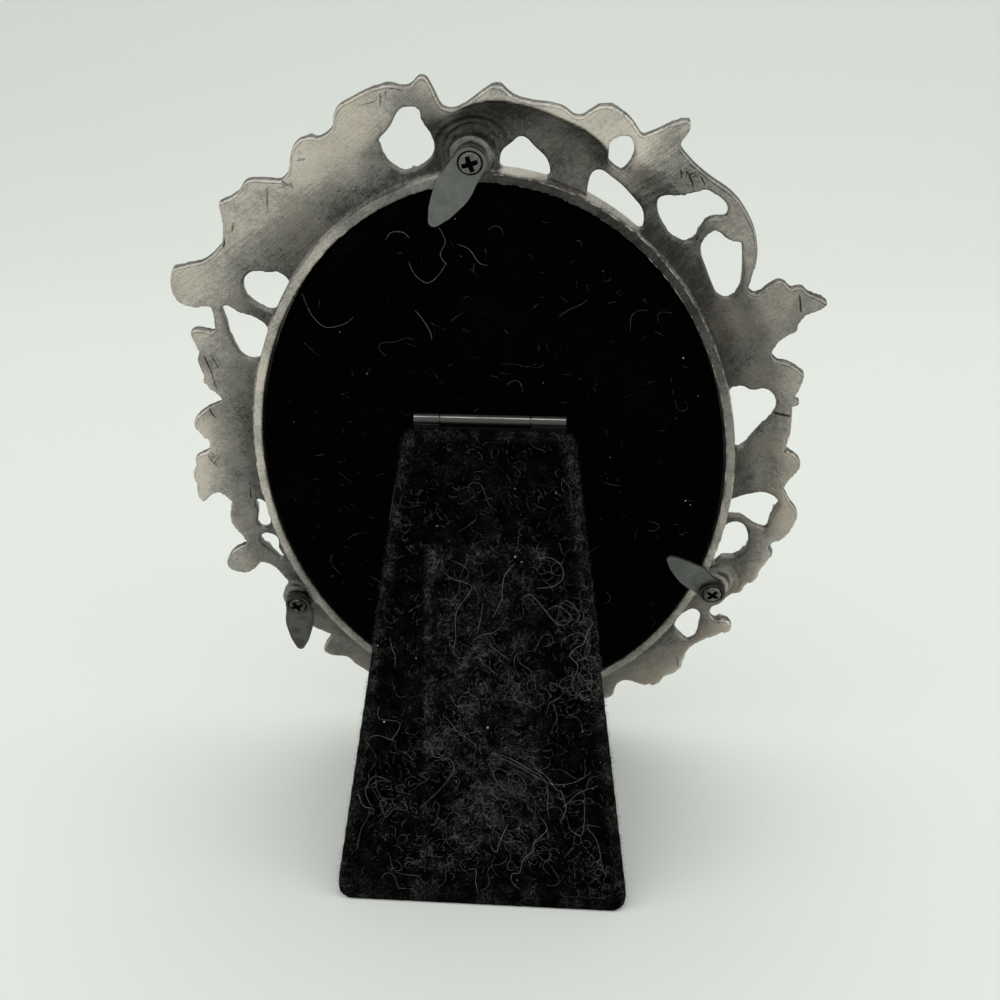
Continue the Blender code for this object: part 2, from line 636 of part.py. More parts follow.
def make_board_hinge(board):
    """Leaf riveted in the board under the velvet, its long middle knuckle, and the pin.

    The leaf comes out through the velvet in line with the foot of the barrel.
    """
    half = HINGE_LENGTH / 2
    axis = (AXIS_BACK, HINGE_ABOVE_CENTRE)
    floor = BOARD_BACK - LEAF_THICKNESS
    foot = HINGE_ABOVE_CENTRE - LEAF_LENGTH
    meet = math.pi + math.asin((BARREL_RADIUS - LEAF_THICKNESS) / BARREL_RADIUS)
    section = arc(axis, BARREL_RADIUS, -math.pi / 2, meet, ROUND_STEPS)
    section += [(floor, STRAP_TOP), (floor, foot), (BOARD_BACK, foot), (BOARD_BACK, STRAP_FOOT)]
    bore = circle(axis, PIN_RADIUS + PIN_GAP, ROUND_STEPS)
    leaf = flat_form("hinge_board_leaf", panel, [section, bore], half, -half, "black_metal", along="X")
    low = STRAP_FOOT - LEG_TOP_GAP
    high = HINGE_ABOVE_CENTRE + BARREL_RADIUS + LEG_TOP_GAP
    near = KNUCKLE_RIGHT + KNUCKLE_GAP / 2 - half
    far = half - KNUCKLE_LEFT - KNUCKLE_GAP / 2
    back = AXIS_BACK + 2 * BARREL_RADIUS
    under = floor - LEAF_THICKNESS
    combine(leaf, box("gap_left", panel, (far, under, low), (HINGE_LENGTH, back, high)), "DIFFERENCE")
    combine(leaf, box("gap_right", panel, (-HINGE_LENGTH, under, low), (near, back, high)), "DIFFERENCE")
    rod = circle(axis, PIN_RADIUS, ROUND_STEPS)
    flat_form("hinge_pin", panel, [rod], half, -half, "rivet_steel", along="X")
    tail = BOARD_BACK - POCKET_GAP
    head = BOARD_FRONT + POCKET_GAP
    make_rivets("board", panel, board, leaf, tail, head, HINGE_ABOVE_CENTRE - RIVET_DROP)


def make_leg():
    """Wedge of board, velvet drawn over its rear and edges, a lining in front, its hinge leaf."""
    velvet = leg_sheet("leg_velvet", 0, 0, LEG_REAR, LEG_FRONT, "velvet")
    rise = LEG_VELVET + (LEG_REAR - LEG_FRONT) * math.tan(LEG_LEAN)
    rear = LEG_REAR - LEG_VELVET
    hollow = leg_sheet("leg_hollow", LEG_VELVET, rise, rear, LEG_FRONT - LEG_VELVET, "velvet")
    combine(velvet, hollow, "DIFFERENCE")
    inset = LEG_VELVET + LAYER_GAP / 2
    rise += LAYER_GAP / 2
    board = leg_sheet("leg_board", inset, rise, LEG_BOARD_REAR, LEG_BOARD_FRONT, "board")
    leg_sheet("leg_lining", inset, rise, LEG_FRONT + LEG_LINING, LEG_FRONT, "velvet")
    wide = LEG_FOOT_WIDTH
    trim = box("leg_table_trim", origin, (-wide, -wide, -wide), (wide, wide * 2, 0))
    combine(velvet, trim, "DIFFERENCE")

    half = HINGE_LENGTH / 2
    front = LEG_BOARD_FRONT
    rear = front + LEAF_THICKNESS
    foot = LEG_TOP - LEAF_LENGTH
    start = -math.acos(rear / BARREL_RADIUS)
    end = math.tau - math.acos(front / BARREL_RADIUS)
    section = arc((0, 0), BARREL_RADIUS, start, end, ROUND_STEPS) + [(front, foot), (rear, foot)]
    bore = circle((0, 0), PIN_RADIUS + PIN_GAP, ROUND_STEPS)
    leaf = flat_form("hinge_leg_leaf", leg, [section, bore], half, -half, "black_metal", along="X")
    reach = BARREL_RADIUS + LEG_TOP_GAP / 2
    near = KNUCKLE_RIGHT - KNUCKLE_GAP / 2 - half
    far = half - KNUCKLE_LEFT + KNUCKLE_GAP / 2
    combine(leaf, box("knuckle_gap", leg, (near, -reach, -reach), (far, reach, reach)), "DIFFERENCE")

    side = half + POCKET_GAP
    past = LEG_FRONT - LEAF_THICKNESS
    pocket_rear = rear + POCKET_GAP
    pocket = box("leg_pocket", leg, (-side, past, foot - POCKET_GAP), (side, pocket_rear, 0))
    combine(board, pocket, "DIFFERENCE")
    slot = box("leg_slot", leg, (-side, past, LEG_TOP - LEG_CORNER), (side, pocket_rear, 0))
    combine(velvet, slot, "DIFFERENCE")
    tail = front + POCKET_GAP / 2
    head = LEG_BOARD_REAR - POCKET_GAP / 2
    make_rivets("leg", leg, board, leaf, tail, head, LEG_TOP - RIVET_DROP)


def blade_outline():
    """Leaf-shaped blade from the round hub at the screw to a rounded tip up the frame's Z."""
    half = BUTTON_WIDTH / 2
    right = [
        (HUB_RADIUS * 0.95, HUB_RADIUS * 0.3),
        (half * 0.93, BUTTON_LENGTH * 0.24),
        (half, BUTTON_LENGTH * 0.42),
        (half * 0.82, BUTTON_LENGTH * 0.64),
        (half * 0.45, BUTTON_LENGTH * 0.88),
    ]
    left = [(-across, up) for across, up in reversed(right)]
    heel = HUB_RADIUS * 0.71
    return right + [(0, BUTTON_LENGTH)] + left + [(-heel, -heel), (0, -HUB_RADIUS), (heel, -heel)]


def bend_up(obj, start, angle):
    """Turn what lies past a level of the frame's Z up off the back, as a blade bent by hand."""
    place = Matrix.Translation((0, BUTTON_LIFT, start))
    turn = place @ Matrix.Rotation(-math.radians(angle), 4, "X") @ place.inverted()
    for vert in obj.data.vertices:
        if vert.co.z > start:
            vert.co = turn @ vert.co


def make_turn_button(name, clock, reach, turn, bend):
    """A stamped blade with a raised collar round the pan-head screw that holds it."""
    across, up = border_point(clock, reach)
    pivot = new_empty("pivot_" + name, panel, (across, 0, up), -math.radians(turn), "Y")
    outline = [blade_outline()]
    button = flat_form(
        "turn_button_" + name, pivot, outline, BUTTON_TOP, BUTTON_LIFT, "button_steel", True
    )
    bend_up(button, HUB_RADIUS, bend)
    inner = SCREW_HEAD_RADIUS + TURN_GAP
    outer = inner + COLLAR_WALL
    top = BUTTON_TOP + COLLAR_HEIGHT
    middle = (BUTTON_TOP + BUTTON_LIFT) / 2
    profile = [(inner, top), (outer, top), (outer, middle), (inner, middle)]
    combine(button, turned("collar_" + name, pivot, profile, closed=True), "UNION")
    bore = cylinder("button_bore_" + name, pivot, SCREW_RADIUS + TURN_GAP, -BUTTON_TOP, 2 * BUTTON_TOP)
    combine(button, bore, "DIFFERENCE")
    crown = SCREW_SEAT + SCREW_HEAD_HEIGHT
    profile = [
        (SCREW_HEAD_RADIUS * 0.5, crown),
        (SCREW_HEAD_RADIUS * 0.85, crown - SCREW_HEAD_HEIGHT * 0.25),
        (SCREW_HEAD_RADIUS, crown - SCREW_HEAD_HEIGHT * 0.6),
        (SCREW_HEAD_RADIUS, SCREW_SEAT),
        (SCREW_RADIUS, SCREW_SEAT),
        (SCREW_RADIUS, -SCREW_BITE + SCREW_RADIUS / 2),
        (SCREW_RADIUS / 2, -SCREW_BITE),
    ]
    turned("turn_button_screw_" + name, pivot, profile, "screw_steel")


def centre_on_origin():
    """Put the middle of the whole frame's footprint over the origin."""
    bpy.context.view_layer.update()
    graph = bpy.context.evaluated_depsgraph_get()
    spots = []
    for obj in parts.objects:
        if obj.type == "MESH":
            seen = obj.evaluated_get(graph)
            spots += [seen.matrix_world @ vert.co for vert in seen.data.vertices]
    across = [spot.x for spot in spots]
    along = [spot.y for spot in spots]
    origin.location.x -= (min(across) + max(across)) / 2
    origin.location.y -= (min(along) + max(along)) / 2


clear_scene()
parts = new_collection("oval_easel_frame")
cutters = new_collection("cutters")
materials = make_materials()
origin = new_empty("frame_origin")
panel = new_empty("panel", origin, (0, 0, PANEL_HEIGHT), -PANEL_LEAN)
hinge_spot = (
    0,
    HINGE_ABOVE_CENTRE * math.sin(PANEL_LEAN) + AXIS_BACK * math.cos(PANEL_LEAN),
    AXIS_HEIGHT,
)
leg = new_empty("leg", origin, hinge_spot, LEG_LEAN)
make_casting()
make_board_hinge(make_picture_pack())
make_leg()
for button_name, button_place in BUTTONS.items():
    make_turn_button(button_name, *button_place)
centre_on_origin()
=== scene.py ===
# Oval easel picture frame seen from behind: cast leaf border, velvet back and leg, turn buttons
import math
import random

import bmesh
import bpy
import numpy as np
from mathutils import Matrix, Vector, noise
from mathutils.kdtree import KDTree


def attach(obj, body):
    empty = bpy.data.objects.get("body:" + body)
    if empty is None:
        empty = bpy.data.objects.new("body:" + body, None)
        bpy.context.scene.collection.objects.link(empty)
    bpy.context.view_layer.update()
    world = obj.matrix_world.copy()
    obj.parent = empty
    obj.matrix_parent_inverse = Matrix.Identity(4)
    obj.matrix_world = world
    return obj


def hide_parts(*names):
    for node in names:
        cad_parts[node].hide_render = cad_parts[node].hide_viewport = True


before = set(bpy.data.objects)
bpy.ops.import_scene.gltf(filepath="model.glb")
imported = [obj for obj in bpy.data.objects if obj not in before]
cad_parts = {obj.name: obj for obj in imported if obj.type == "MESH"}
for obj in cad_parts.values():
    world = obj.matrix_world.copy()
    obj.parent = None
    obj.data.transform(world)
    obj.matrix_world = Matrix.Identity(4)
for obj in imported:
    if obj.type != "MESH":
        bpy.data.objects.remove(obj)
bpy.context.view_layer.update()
print("frame loaded")

mm = 0.001

# where the panel stands: its oval centre on the rim's back face, leaning back
panelStand = {
    "across": -0.082 * mm,
    "depth": -8.08 * mm,
    "height": 72.157 * mm,
    "lean": -14.7,
    "ovalHalfWidth": 46.3 * mm,
    "ovalHalfHeight": 65.3 * mm,
}

# where the leg hangs: the hinge axis, leaning out
legStand = {
    "across": -0.082 * mm,
    "depth": -2.875 * mm,
    "height": 88.056 * mm,
    "lean": 19.0,
    "rearFace": 2.4 * mm,
}

# the leg's taper in millimetres, down from the hinge
legTaper = {
    "topWidth": 31.2,
    "footWidth": 57,
    "topEdge": 1.6,
    "length": 90.4,
}


def standMatrix(stand):
    place = Matrix.Translation((stand["across"], stand["depth"], stand["height"]))
    return place @ Matrix.Rotation(math.radians(stand["lean"]), 4, "X")


panelMatrix = standMatrix(panelStand)
legMatrix = standMatrix(legStand)

# camera: behind and above, as far off as the photograph was taken
cameraView = {
    "lens": 43.2,
    "sensor": 36,
    "nearest": 0.01,
    "elevation": 26.8,
    "swing": 4.2,
    "roll": -0.3,
    "distance": 235.1 * mm,
    "aimAcross": 1.41 * mm,
    "aimHeight": 68.95 * mm,
}


def linked(name, data):
    made = bpy.data.objects.new(name, data)
    bpy.context.scene.collection.objects.link(made)
    return made


def placeCamera(view):
    up = math.radians(view["elevation"])
    swing = math.radians(view["swing"])
    across = view["aimAcross"]
    back = view["distance"] * math.cos(up)
    height = view["aimHeight"] + view["distance"] * math.sin(up)
    x = -(across * math.cos(swing) + back * math.sin(swing)) + panelStand["across"]
    y = back * math.cos(swing) - across * math.sin(swing) + panelStand["depth"]
    toward = Vector((math.cos(up) * math.sin(swing), -math.cos(up) * math.cos(swing), -math.sin(up)))
    camera = linked("photoCamera", bpy.data.cameras.new("photoCamera"))
    camera.data.lens = view["lens"]
    camera.data.sensor_width = view["sensor"]
    camera.data.clip_start = view["nearest"]
    turn = toward.to_track_quat("-Z", "Y").to_matrix().to_4x4()
    roll = Matrix.Rotation(math.radians(view["roll"]), 4, "Z")
    camera.matrix_world = Matrix.Translation((x, y, height)) @ turn @ roll
    bpy.context.scene.camera = camera


placeCamera(cameraView)
print("camera placed")


# one value in a material, so that sums and products of textures read as such
class Term:
    def __init__(self, finish, socket):
        self.finish = finish
        self.socket = socket

    def __add__(self, other):
        return self.finish.math("ADD", self, other)

    def __sub__(self, other):
        return self.finish.math("SUBTRACT", self, other)

    def __mul__(self, other):
        return self.finish.math("MULTIPLY", self, other)

    def __abs__(self):
        return self.finish.math("ABSOLUTE", self)

    def ranged(self, low, high, toLow=0, toHigh=1):
        inputs = {"Value": self, "From Min": low, "From Max": high, "To Min": toLow, "To Max": toHigh}
        return self.finish.add("ShaderNodeMapRange", "Result", inputs, interpolation_type="SMOOTHSTEP")


# a material under construction
class Finish:
    def __init__(self, name):
        self.material = bpy.data.materials.new(name)
        self.material.use_nodes = True
        self.nodes = self.material.node_tree.nodes
        self.spot = self.add("ShaderNodeTexCoord", "Object")

    def feed(self, socket, value):
        if isinstance(value, Term):
            self.material.node_tree.links.new(value.socket, socket)
        elif socket.type == "RGBA":
            socket.default_value = (*value, 1)
        else:
            socket.default_value = value

    def add(self, kind, output, inputs=None, **settings):
        node = self.nodes.new(kind)
        for key, value in settings.items():
            setattr(node, key, value)
        for place, value in (inputs or {}).items():
            self.feed(node.inputs[place], value)
        return Term(self, node.outputs[output])

    def shade(self, inputs):
        for place, value in inputs.items():
            self.feed(self.nodes["Principled BSDF"].inputs[place], value)

    def math(self, kind, first, second=0.0, clamp=False):
        return self.add("ShaderNodeMath", "Value", {0: first, 1: second}, operation=kind, use_clamp=clamp)

    def mixed(self, share, first, second):
        return self.add("ShaderNodeMix", 2, {0: share, 6: first, 7: second}, data_type="RGBA")

    def __getitem__(self, name):
        return self.add("ShaderNodeAttribute", "Fac", attribute_name=name)

    def part(self, axis):
        return self.add("ShaderNodeSeparateXYZ", axis, {0: self.spot})

    def noise(self, scale, detail, rough, vector=None):
        inputs = {"Scale": scale, "Detail": detail, "Roughness": rough, "Vector": vector or self.spot}
        return self.add("ShaderNodeTexNoise", "Fac", inputs)

    def streaks(self, degrees, scale, rough):
        turn = (0, math.radians(degrees), 0)
        turned = self.add("ShaderNodeMapping", "Vector", {0: self.spot, "Rotation": turn})
        return self.noise(1, 4, rough, self.add("ShaderNodeMapping", "Vector", {0: turned, "Scale": scale}))

    def bump(self, height, distance, strength):
        inputs = {"Height": height, "Distance": distance, "Strength": strength}
        self.shade({"Normal": self.add("ShaderNodeBump", "Normal", inputs)})


def dress(piece, finish):
    piece.data.materials.clear()
    piece.data.materials.append(finish.material)


def meshFrom(form, name):
    mesh = bpy.data.meshes.new(name)
    form.to_mesh(mesh)
    form.free()
    mesh.shade_smooth()
    return mesh


def reworked(mesh, change):
    form = bmesh.new()
    form.from_mesh(mesh)
    change(form)
    form.to_mesh(mesh)
    form.free()


def extruded(form, edges):
    made = bmesh.ops.extrude_edge_only(form, edges=edges)
    return [part for part in made["geom"] if isinstance(part, bmesh.types.BMVert)]


def boundary(form):
    return [edge for edge in form.edges if edge.is_boundary]


# seamless paper and soft light; each light has its name, place, aim, size, power and colour
studio = {
    "paperColour": (0.78, 0.795, 0.757),
    # painted shade: toward the wall the paper darkens to the next colour
    "farPaperColour": (0.655, 0.67, 0.64),
    "paperRough": 0.75,
    "fade": (-0.3, -0.74),
    "paperHalf": 2.4,
    "wallAt": -0.75,
    "wallTop": 1.4,
    "curve": 0.35,
    "curveSteps": 12,
    "worldColour": (0.93, 0.96, 0.94),
    "worldStrength": 0.8,
    "lights": (
        ("ceilingPanel", (0.05, 0.0, 0.95), (0, 0.05, 0), (1.4, 1.0), 3.4, (1, 1, 1)),
        ("sideWindow", (0.85, 0.35, 0.55), (0, 0, 0.07), (0.6, 0.7), 0.9, (0.98, 1.0, 0.98)),
        ("farFill", (-0.9, 0.2, 0.5), (0, 0, 0.07), (0.7, 0.8), 1.5, (1, 1, 1)),
    ),
}


def paperSweep(setup):
    form = bmesh.new()
    half, wall, curve = setup["paperHalf"], setup["wallAt"], setup["curve"]
    rows = [(half * 0.8, 0.0), (wall + curve, 0.0)]
    for step in range(1, setup["curveSteps"] + 1):
        angle = math.pi / 2 * step / setup["curveSteps"]
        rows.append((wall + curve * (1 - math.sin(angle)), curve * (1 - math.cos(angle))))
    rows.append((wall, setup["wallTop"]))
    line = [form.verts.new((-half, y, z)) for y, z in rows]
    verts = extruded(form, [form.edges.new(pair) for pair in zip(line, line[1:])])
    bmesh.ops.translate(form, verts=verts, vec=(2 * half, 0, 0))
    bmesh.ops.recalc_face_normals(form, faces=form.faces)
    sweep = linked("paperSweep", meshFrom(form, "paperSweep"))
    finish = Finish("palePaper")
    # painted shade: the paper darkens toward the wall
    share = finish.part("Y").ranged(*setup["fade"])
    finish.shade({
        "Base Color": finish.mixed(share, setup["paperColour"], setup["farPaperColour"]),
        "Roughness": setup["paperRough"],
    })
    dress(sweep, finish)


def areaLight(name, place, aim, size, power, colour):
    data = bpy.data.lights.new(name, "AREA")
    data.shape = "RECTANGLE"
    data.size, data.size_y = size
    data.energy = power
    data.color = colour
    lamp = linked(name, data)
    lamp.location = place
    lamp.rotation_euler = (Vector(aim) - Vector(place)).to_track_quat("-Z", "Y").to_euler()


def lightRoom(setup):
    world = bpy.data.worlds.new("softRoom")
    bpy.context.scene.world = world
    world.use_nodes = True
    glow = world.node_tree.nodes["Background"].inputs
    glow["Color"].default_value = (*setup["worldColour"], 1)
    glow["Strength"].default_value = setup["worldStrength"]
    for light in setup["lights"]:
        areaLight(*light)
    bpy.context.scene.view_settings.view_transform = "Standard"


paperSweep(studio)
lightRoom(studio)
print("studio lit")


def meshArray(mesh, field="co"):
    values = np.empty(len(mesh.vertices) * 3, np.float32)
    mesh.vertices.foreach_get(field, values)
    return values.reshape(-1, 3).astype(float)


def normalsOf(mesh):
    return np.array([vert.normal for vert in mesh.vertices])


# no point goes below the table
def setPlaces(mesh, points):
    points[:, 2] = np.maximum(points[:, 2], 0)
    mesh.vertices.foreach_set("co", points.astype(np.float32).ravel())


def moved(points, matrix):
    turn = np.array(matrix)
    return points @ turn[:3, :3].T + turn[:3, 3]


def ovalEdge(turn, swell=0):
    wide, tall = panelStand["ovalHalfWidth"] + swell, panelStand["ovalHalfHeight"] + swell
    return 1 / np.hypot(np.sin(turn) / wide, np.cos(turn) / tall)


def clockAndReach(across, up):
    clock = np.arctan2(-across, up)
    return np.degrees(clock) % 360, np.hypot(across, up) - ovalEdge(clock)


def spotOnPanel(clock, reach):
    turn = math.radians(clock)
    far = float(ovalEdge(turn)) + reach * mm
    return -far * math.sin(turn), far * math.cos(turn)


# millimetres on the panel from a clock angle and reach
def farFrom(points, clock, reach):
    across, up = spotOnPanel(clock, reach)
    return np.hypot(points[:, 0] - across, points[:, 2] - up) / mm


def smoothStep(value, low, high):
    share = np.clip((value - low) / (high - low), 0, 1)
    return share * share * (3 - 2 * share)


def within(value, rise, full, fall, end):
    return smoothStep(value, rise, full) * (1 - smoothStep(value, fall, end))


def byClock(table, clock):
    return np.interp(clock, [spot[0] for spot in table], [spot[1] for spot in table], period=360)


def softNoise(points, scale, seed):
    shift = Vector((seed * 3.1, seed * 1.7, seed * 2.3))
    return np.array([noise.noise(Vector(point) * scale + shift) for point in points])


def storeAttributes(mesh, **fields):
    for name, values in fields.items():
        layer = mesh.attributes.new(name, "FLOAT", "POINT")
        layer.data.foreach_set("value", np.asarray(values, np.float32))


# the casting: remeshed fine from the solid, then its edges, hollow, rings and leaf relief are worked in
casting = {
    "voxel": 0.44 * mm,
    "smoothRounds": 1,
    "rimEdge": 0.25 * mm,
    "backFacing": 0.45,
    "frontFacing": -0.35,
    "flatLevel": -0.3 * mm,
    "hollowCentre": 4.0 * mm,
    "hollowHalfWidth": 7.5 * mm,
    "hollowStep": 0.55 * mm,
    "facetHeight": 0.32 * mm,
    "edgeRound": 0.4 * mm,
    "edgeDrop": 0.22 * mm,
    "unevenness": 0.06 * mm,
    "buttonSpots": {"top": (358.6, 2.6), "right": (120.7, 2.4), "left": (231.4, 3.3)},
    "bossRadius": 4.3,
    "rings": {"top": 0.16 * mm, "right": 0.04 * mm, "left": 0.06 * mm},
    "firstRing": 4.9,
    "ringPace": 1.6,
    "dirtyRing": 0.16 * mm,
}

# painted light and shade on the casting: shares of the painted-light tables below
castTones = {
    "base": 0.17,
    "byHeight": 0.19,
    "byReach": 0.68,
    "besideRim": 0.3,
    "deep": 0.11,
    "deepRise": 0.05,
    "rings": 0.5,
    "wall": 0.35,
    "wallBase": 0.06,
    "underside": 0.6,
    "rimFront": 0.55,
}

# the picture side's relief: heights in millimetres, and how much each form lightens or darkens
frontWork = {
    "rise": 0.7,
    "midrib": (0.6, 0.3),
    "groove": (-0.2, -0.22),
    "veins": (-0.34, -0.24),
    "curl": (0.21, 0.035),
    "veinPace": 2.6,
    "tone": 0.5,
    "besideRim": -0.16,
}

# depth of the hollow beside the rim, by clock angle, in millimetres
hollowDepth = [
    (0, 3.2), (30, 3.1), (60, 2.7), (120, 2.6), (180, 2.6), (240, 2.6), (290, 2.4), (305, 1.9),
    (320, 1.6), (340, 1.7), (352, 2.6), (360, 3.2),
]

# where the flat ground faces start beyond the rim, by clock angle, at the top hollow
hollowEdge = [
    (355, 10.8), (357, 10.4), (359, 11.1), (1, 11.7), (2.5, 11.8), (5, 11.6), (7.6, 11.2), (10, 10.8),
    (12.6, 10.4), (14.7, 9.7), (16.5, 8.4), (18, 7.6),
]

# painted light and shade on the metal by clock angle, on the leaves, the rim's face and its inner side
leafTone = [
    (0, 0.7), (16, 0.86), (20, 0.86), (22, 0.6), (25, 0.42), (30, 0.42), (45, 0.5), (56, 0.42),
    (66, 0.58), (80, 0.62), (95, 0.62), (112, 0.68), (130, 0.78), (150, 1.02), (180, 0.7), (215, 0.62),
    (235, 0.52), (248, 0.6), (262, 0.76), (275, 0.8), (290, 0.72), (302, 0.68), (311, 0.7), (325, 0.74),
    (335, 0.84), (345, 0.72), (353, 0.55), (360, 0.7),
]
rimTone = [
    (0, 0.12), (20, 0.07), (45, 0.09), (60, 0.2), (72, 0.34), (100, 0.5), (130, 0.58), (160, 0.56),
    (225, 0.48), (250, 0.6), (285, 0.8), (300, 0.76), (310, 0.64), (330, 0.56), (345, 0.34), (360, 0.12),
]
rimSideTone = [
    (0, 0.74), (40, 0.66), (70, 0.4), (180, 0.3), (250, 0.2), (300, 0.13), (335, 0.14), (345, 0.24),
    (360, 0.74),
]

# how strongly the edges of the rim's face are lightened by wear and a painted highlight, by clock angle
wornShare = [
    (0, 0.45), (20, 0.8), (45, 1), (85, 1), (110, 0.5), (140, 0.1), (300, 0), (345, 0.05), (360, 0.45),
]

# how brown with old dirt and how strongly brushed the leaves are, by clock angle
brownShare = [
    (0, 0.3), (20, 0.35), (45, 0.8), (80, 1), (110, 0.85), (150, 0.9), (200, 0.6), (250, 0.25),
    (300, 0.25), (320, 0.55), (345, 0.6), (360, 0.3),
]
brushShare = [
    (0, 0.5), (14, 0.8), (18, 1.9), (27, 1.7), (34, 0.45), (200, 0.2), (290, 0.6), (325, 1.1), (345, 0.7),
    (360, 0.5),
]

# dirt caught in the metal: clock angle, reach and size in millimetres, and how dark
dirtSpots = [
    (111.5, 5, 2.2, 0.45), (353.5, 5, 5.5, 0.55), (353.5, 10, 4, 0.45), (357, 7.5, 3, 0.4),
    (10, 3.5, 4, 0.15), (313, 5, 6.5, 0.42), (322, 5, 6.5, 0.45), (331, 4.5, 6, 0.42), (27, 9, 6, 0.18),
    (338, 2.5, 4, 0.22), (306, 9, 4, 0.1), (265, 2.5, 4, 0.1), (298, 9.5, 2.5, 0.25), (286, 8.5, 2, 0.22),
    (330, 12, 1.6, 0.18), (27, 12.5, 1.5, 0.25), (55, 14, 2.5, 0.18), (94, 5, 4, 0.1),
    (16.5, 6.5, 1.6, 0.45), (40, 1.5, 5, 0.2),
]

# nicks and creases: clock angle and reach of both ends, then half the width in millimetres
nicks = [
    (349, 15.4, 348.7, 14.1, 0.07), (349.7, 15.4, 349.5, 14.6, 0.06), (346.5, 14.8, 348.2, 14.6, 0.05),
    (336.4, 12.6, 337.1, 12.2, 0.14), (332.9, 11.9, 333.6, 9.9, 0.1), (332.2, 11.2, 333.8, 10.6, 0.06),
    (330.5, 12.8, 329.3, 11, 0.08), (329.8, 12, 328.4, 10.2, 0.06), (322.2, 13.2, 323.2, 13.6, 0.1),
    (320.2, 13.6, 319.4, 13.1, 0.18), (50.5, 16.7, 52.7, 16, 0.1), (26.2, 13.5, 27.6, 12.7, 0.08),
    (28.1, 14.4, 28.9, 14, 0.07), (70.9, 7.2, 71.6, 10, 0.22), (80.3, 9.2, 80, 10.6, 0.18),
    (25.4, 13, 25.9, 12.2, 0.06), (27, 14.2, 26.6, 13.4, 0.05), (29.3, 13.4, 29.9, 13.9, 0.06),
    (275, 8.2, 274.4, 8.8, 0.07), (273.6, 8.4, 274.2, 7.9, 0.06), (276, 8.9, 275.4, 8.4, 0.05),
    (105.2, 10, 106.9, 11.3, 0.12), (264.1, 3.2, 261.8, 3.5, 0.08), (275.3, 9.4, 273.8, 9, 0.12),
    (273.8, 9, 272.3, 8.3, 0.07), (298.9, 10.1, 296.2, 8.6, 0.09), (296.2, 8.6, 292.1, 7.4, 0.09),
    (299.5, 8.8, 297, 7.4, 0.06), (287.1, 8.6, 284.9, 7.7, 0.09), (141.9, 8, 142.6, 9.6, 0.1),
]

# leaves on the picture side: clock angle and tip reach in millimetres
frontLeaves = [
    (2, 14), (15, 15), (24, 19), (36, 15), (53, 19), (64, 13), (80, 11), (96, 13), (110, 11), (128, 12),
    (143, 11), (158, 8), (169, 13), (181, 7), (191, 13), (204, 7), (216, 9.5), (230, 8), (246, 13),
    (258, 9), (268, 13), (282, 11), (300, 13), (311, 19), (326, 16), (339, 15), (350, 16),
]


def settled(piece):
    bpy.context.view_layer.update()
    graph = bpy.context.evaluated_depsgraph_get()
    return bpy.data.meshes.new_from_object(piece.evaluated_get(graph))


def weld(form):
    bmesh.ops.remove_doubles(form, verts=form.verts, dist=0.001 * mm)


def fineCopy(nodeName, pieceName, voxel, stand):
    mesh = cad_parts[nodeName].data.copy()
    mesh.transform(stand.inverted())
    reworked(mesh, weld)
    piece = linked(pieceName, mesh)
    remesh = piece.modifiers.new("voxels", "REMESH")
    remesh.mode = "VOXEL"
    remesh.voxel_size = voxel
    fine = settled(piece)
    piece.modifiers.clear()
    piece.data = fine
    fine.transform(stand)
    fine.name = pieceName
    return piece


def smoothMesh(mesh, rounds):
    def relax(form):
        for _ in range(rounds):
            bmesh.ops.smooth_vert(
                form, verts=form.verts, factor=0.5, use_axis_x=True, use_axis_y=True, use_axis_z=True
            )

    reworked(mesh, relax)


def nearest(points, targets):
    tree = KDTree(len(targets))
    for index, target in enumerate(targets):
        tree.insert((target[0], 0, target[2]), index)
    tree.balance()
    found = [tree.find((point[0], 0, point[2])) for point in points]
    return np.array([spot[2] for spot in found]), np.array([spot[1] for spot in found])


def dishLevel(sizes, clock, reach):
    turn = np.radians(clock)
    swell = reach.copy()
    for _ in range(6):
        swell += reach - (ovalEdge(turn, swell) - ovalEdge(turn))
    starts = np.array([spot[0] for spot in hollowDepth], float)
    depths = np.array([spot[1] for spot in hollowDepth]) * mm
    place = np.clip(np.searchsorted(starts, clock, side="right") - 1, 0, len(starts) - 2)
    share = (clock - starts[place]) / (starts[place + 1] - starts[place])
    depth = depths[place] + (depths[place + 1] - depths[place]) * (1 - np.cos(math.pi * share)) / 2
    offset = np.minimum(1, np.abs(swell - sizes["hollowCentre"]) / sizes["hollowHalfWidth"])
    return sizes["flatLevel"] - (depth + sizes["flatLevel"]) * (1 + np.cos(math.pi * offset)) / 2


def nickFields(points):
    closest = np.full(len(points), 3.0)
    side = np.full(len(points), 3.0)
    for clock, reach, endClock, endReach, half in nicks:
        start = np.array(spotOnPanel(clock, reach))
        way = np.array(spotOnPanel(endClock, endReach)) - start
        long = np.hypot(*way)
        way = way / long
        offset = points[:, (0, 2)] - start
        along = offset @ way
        across = offset[:, 0] * way[1] - offset[:, 1] * way[0]
        past = np.maximum(0, np.maximum(-along, along - long)) / mm
        far = np.hypot(past, across / mm)
        signed = np.sign(across) * (np.abs(across) / mm + past * 0.6) * 0.1 / half
        taken = far < closest
        side = np.where(taken, signed, side)
        closest = np.where(taken, far, closest)
    return closest, side


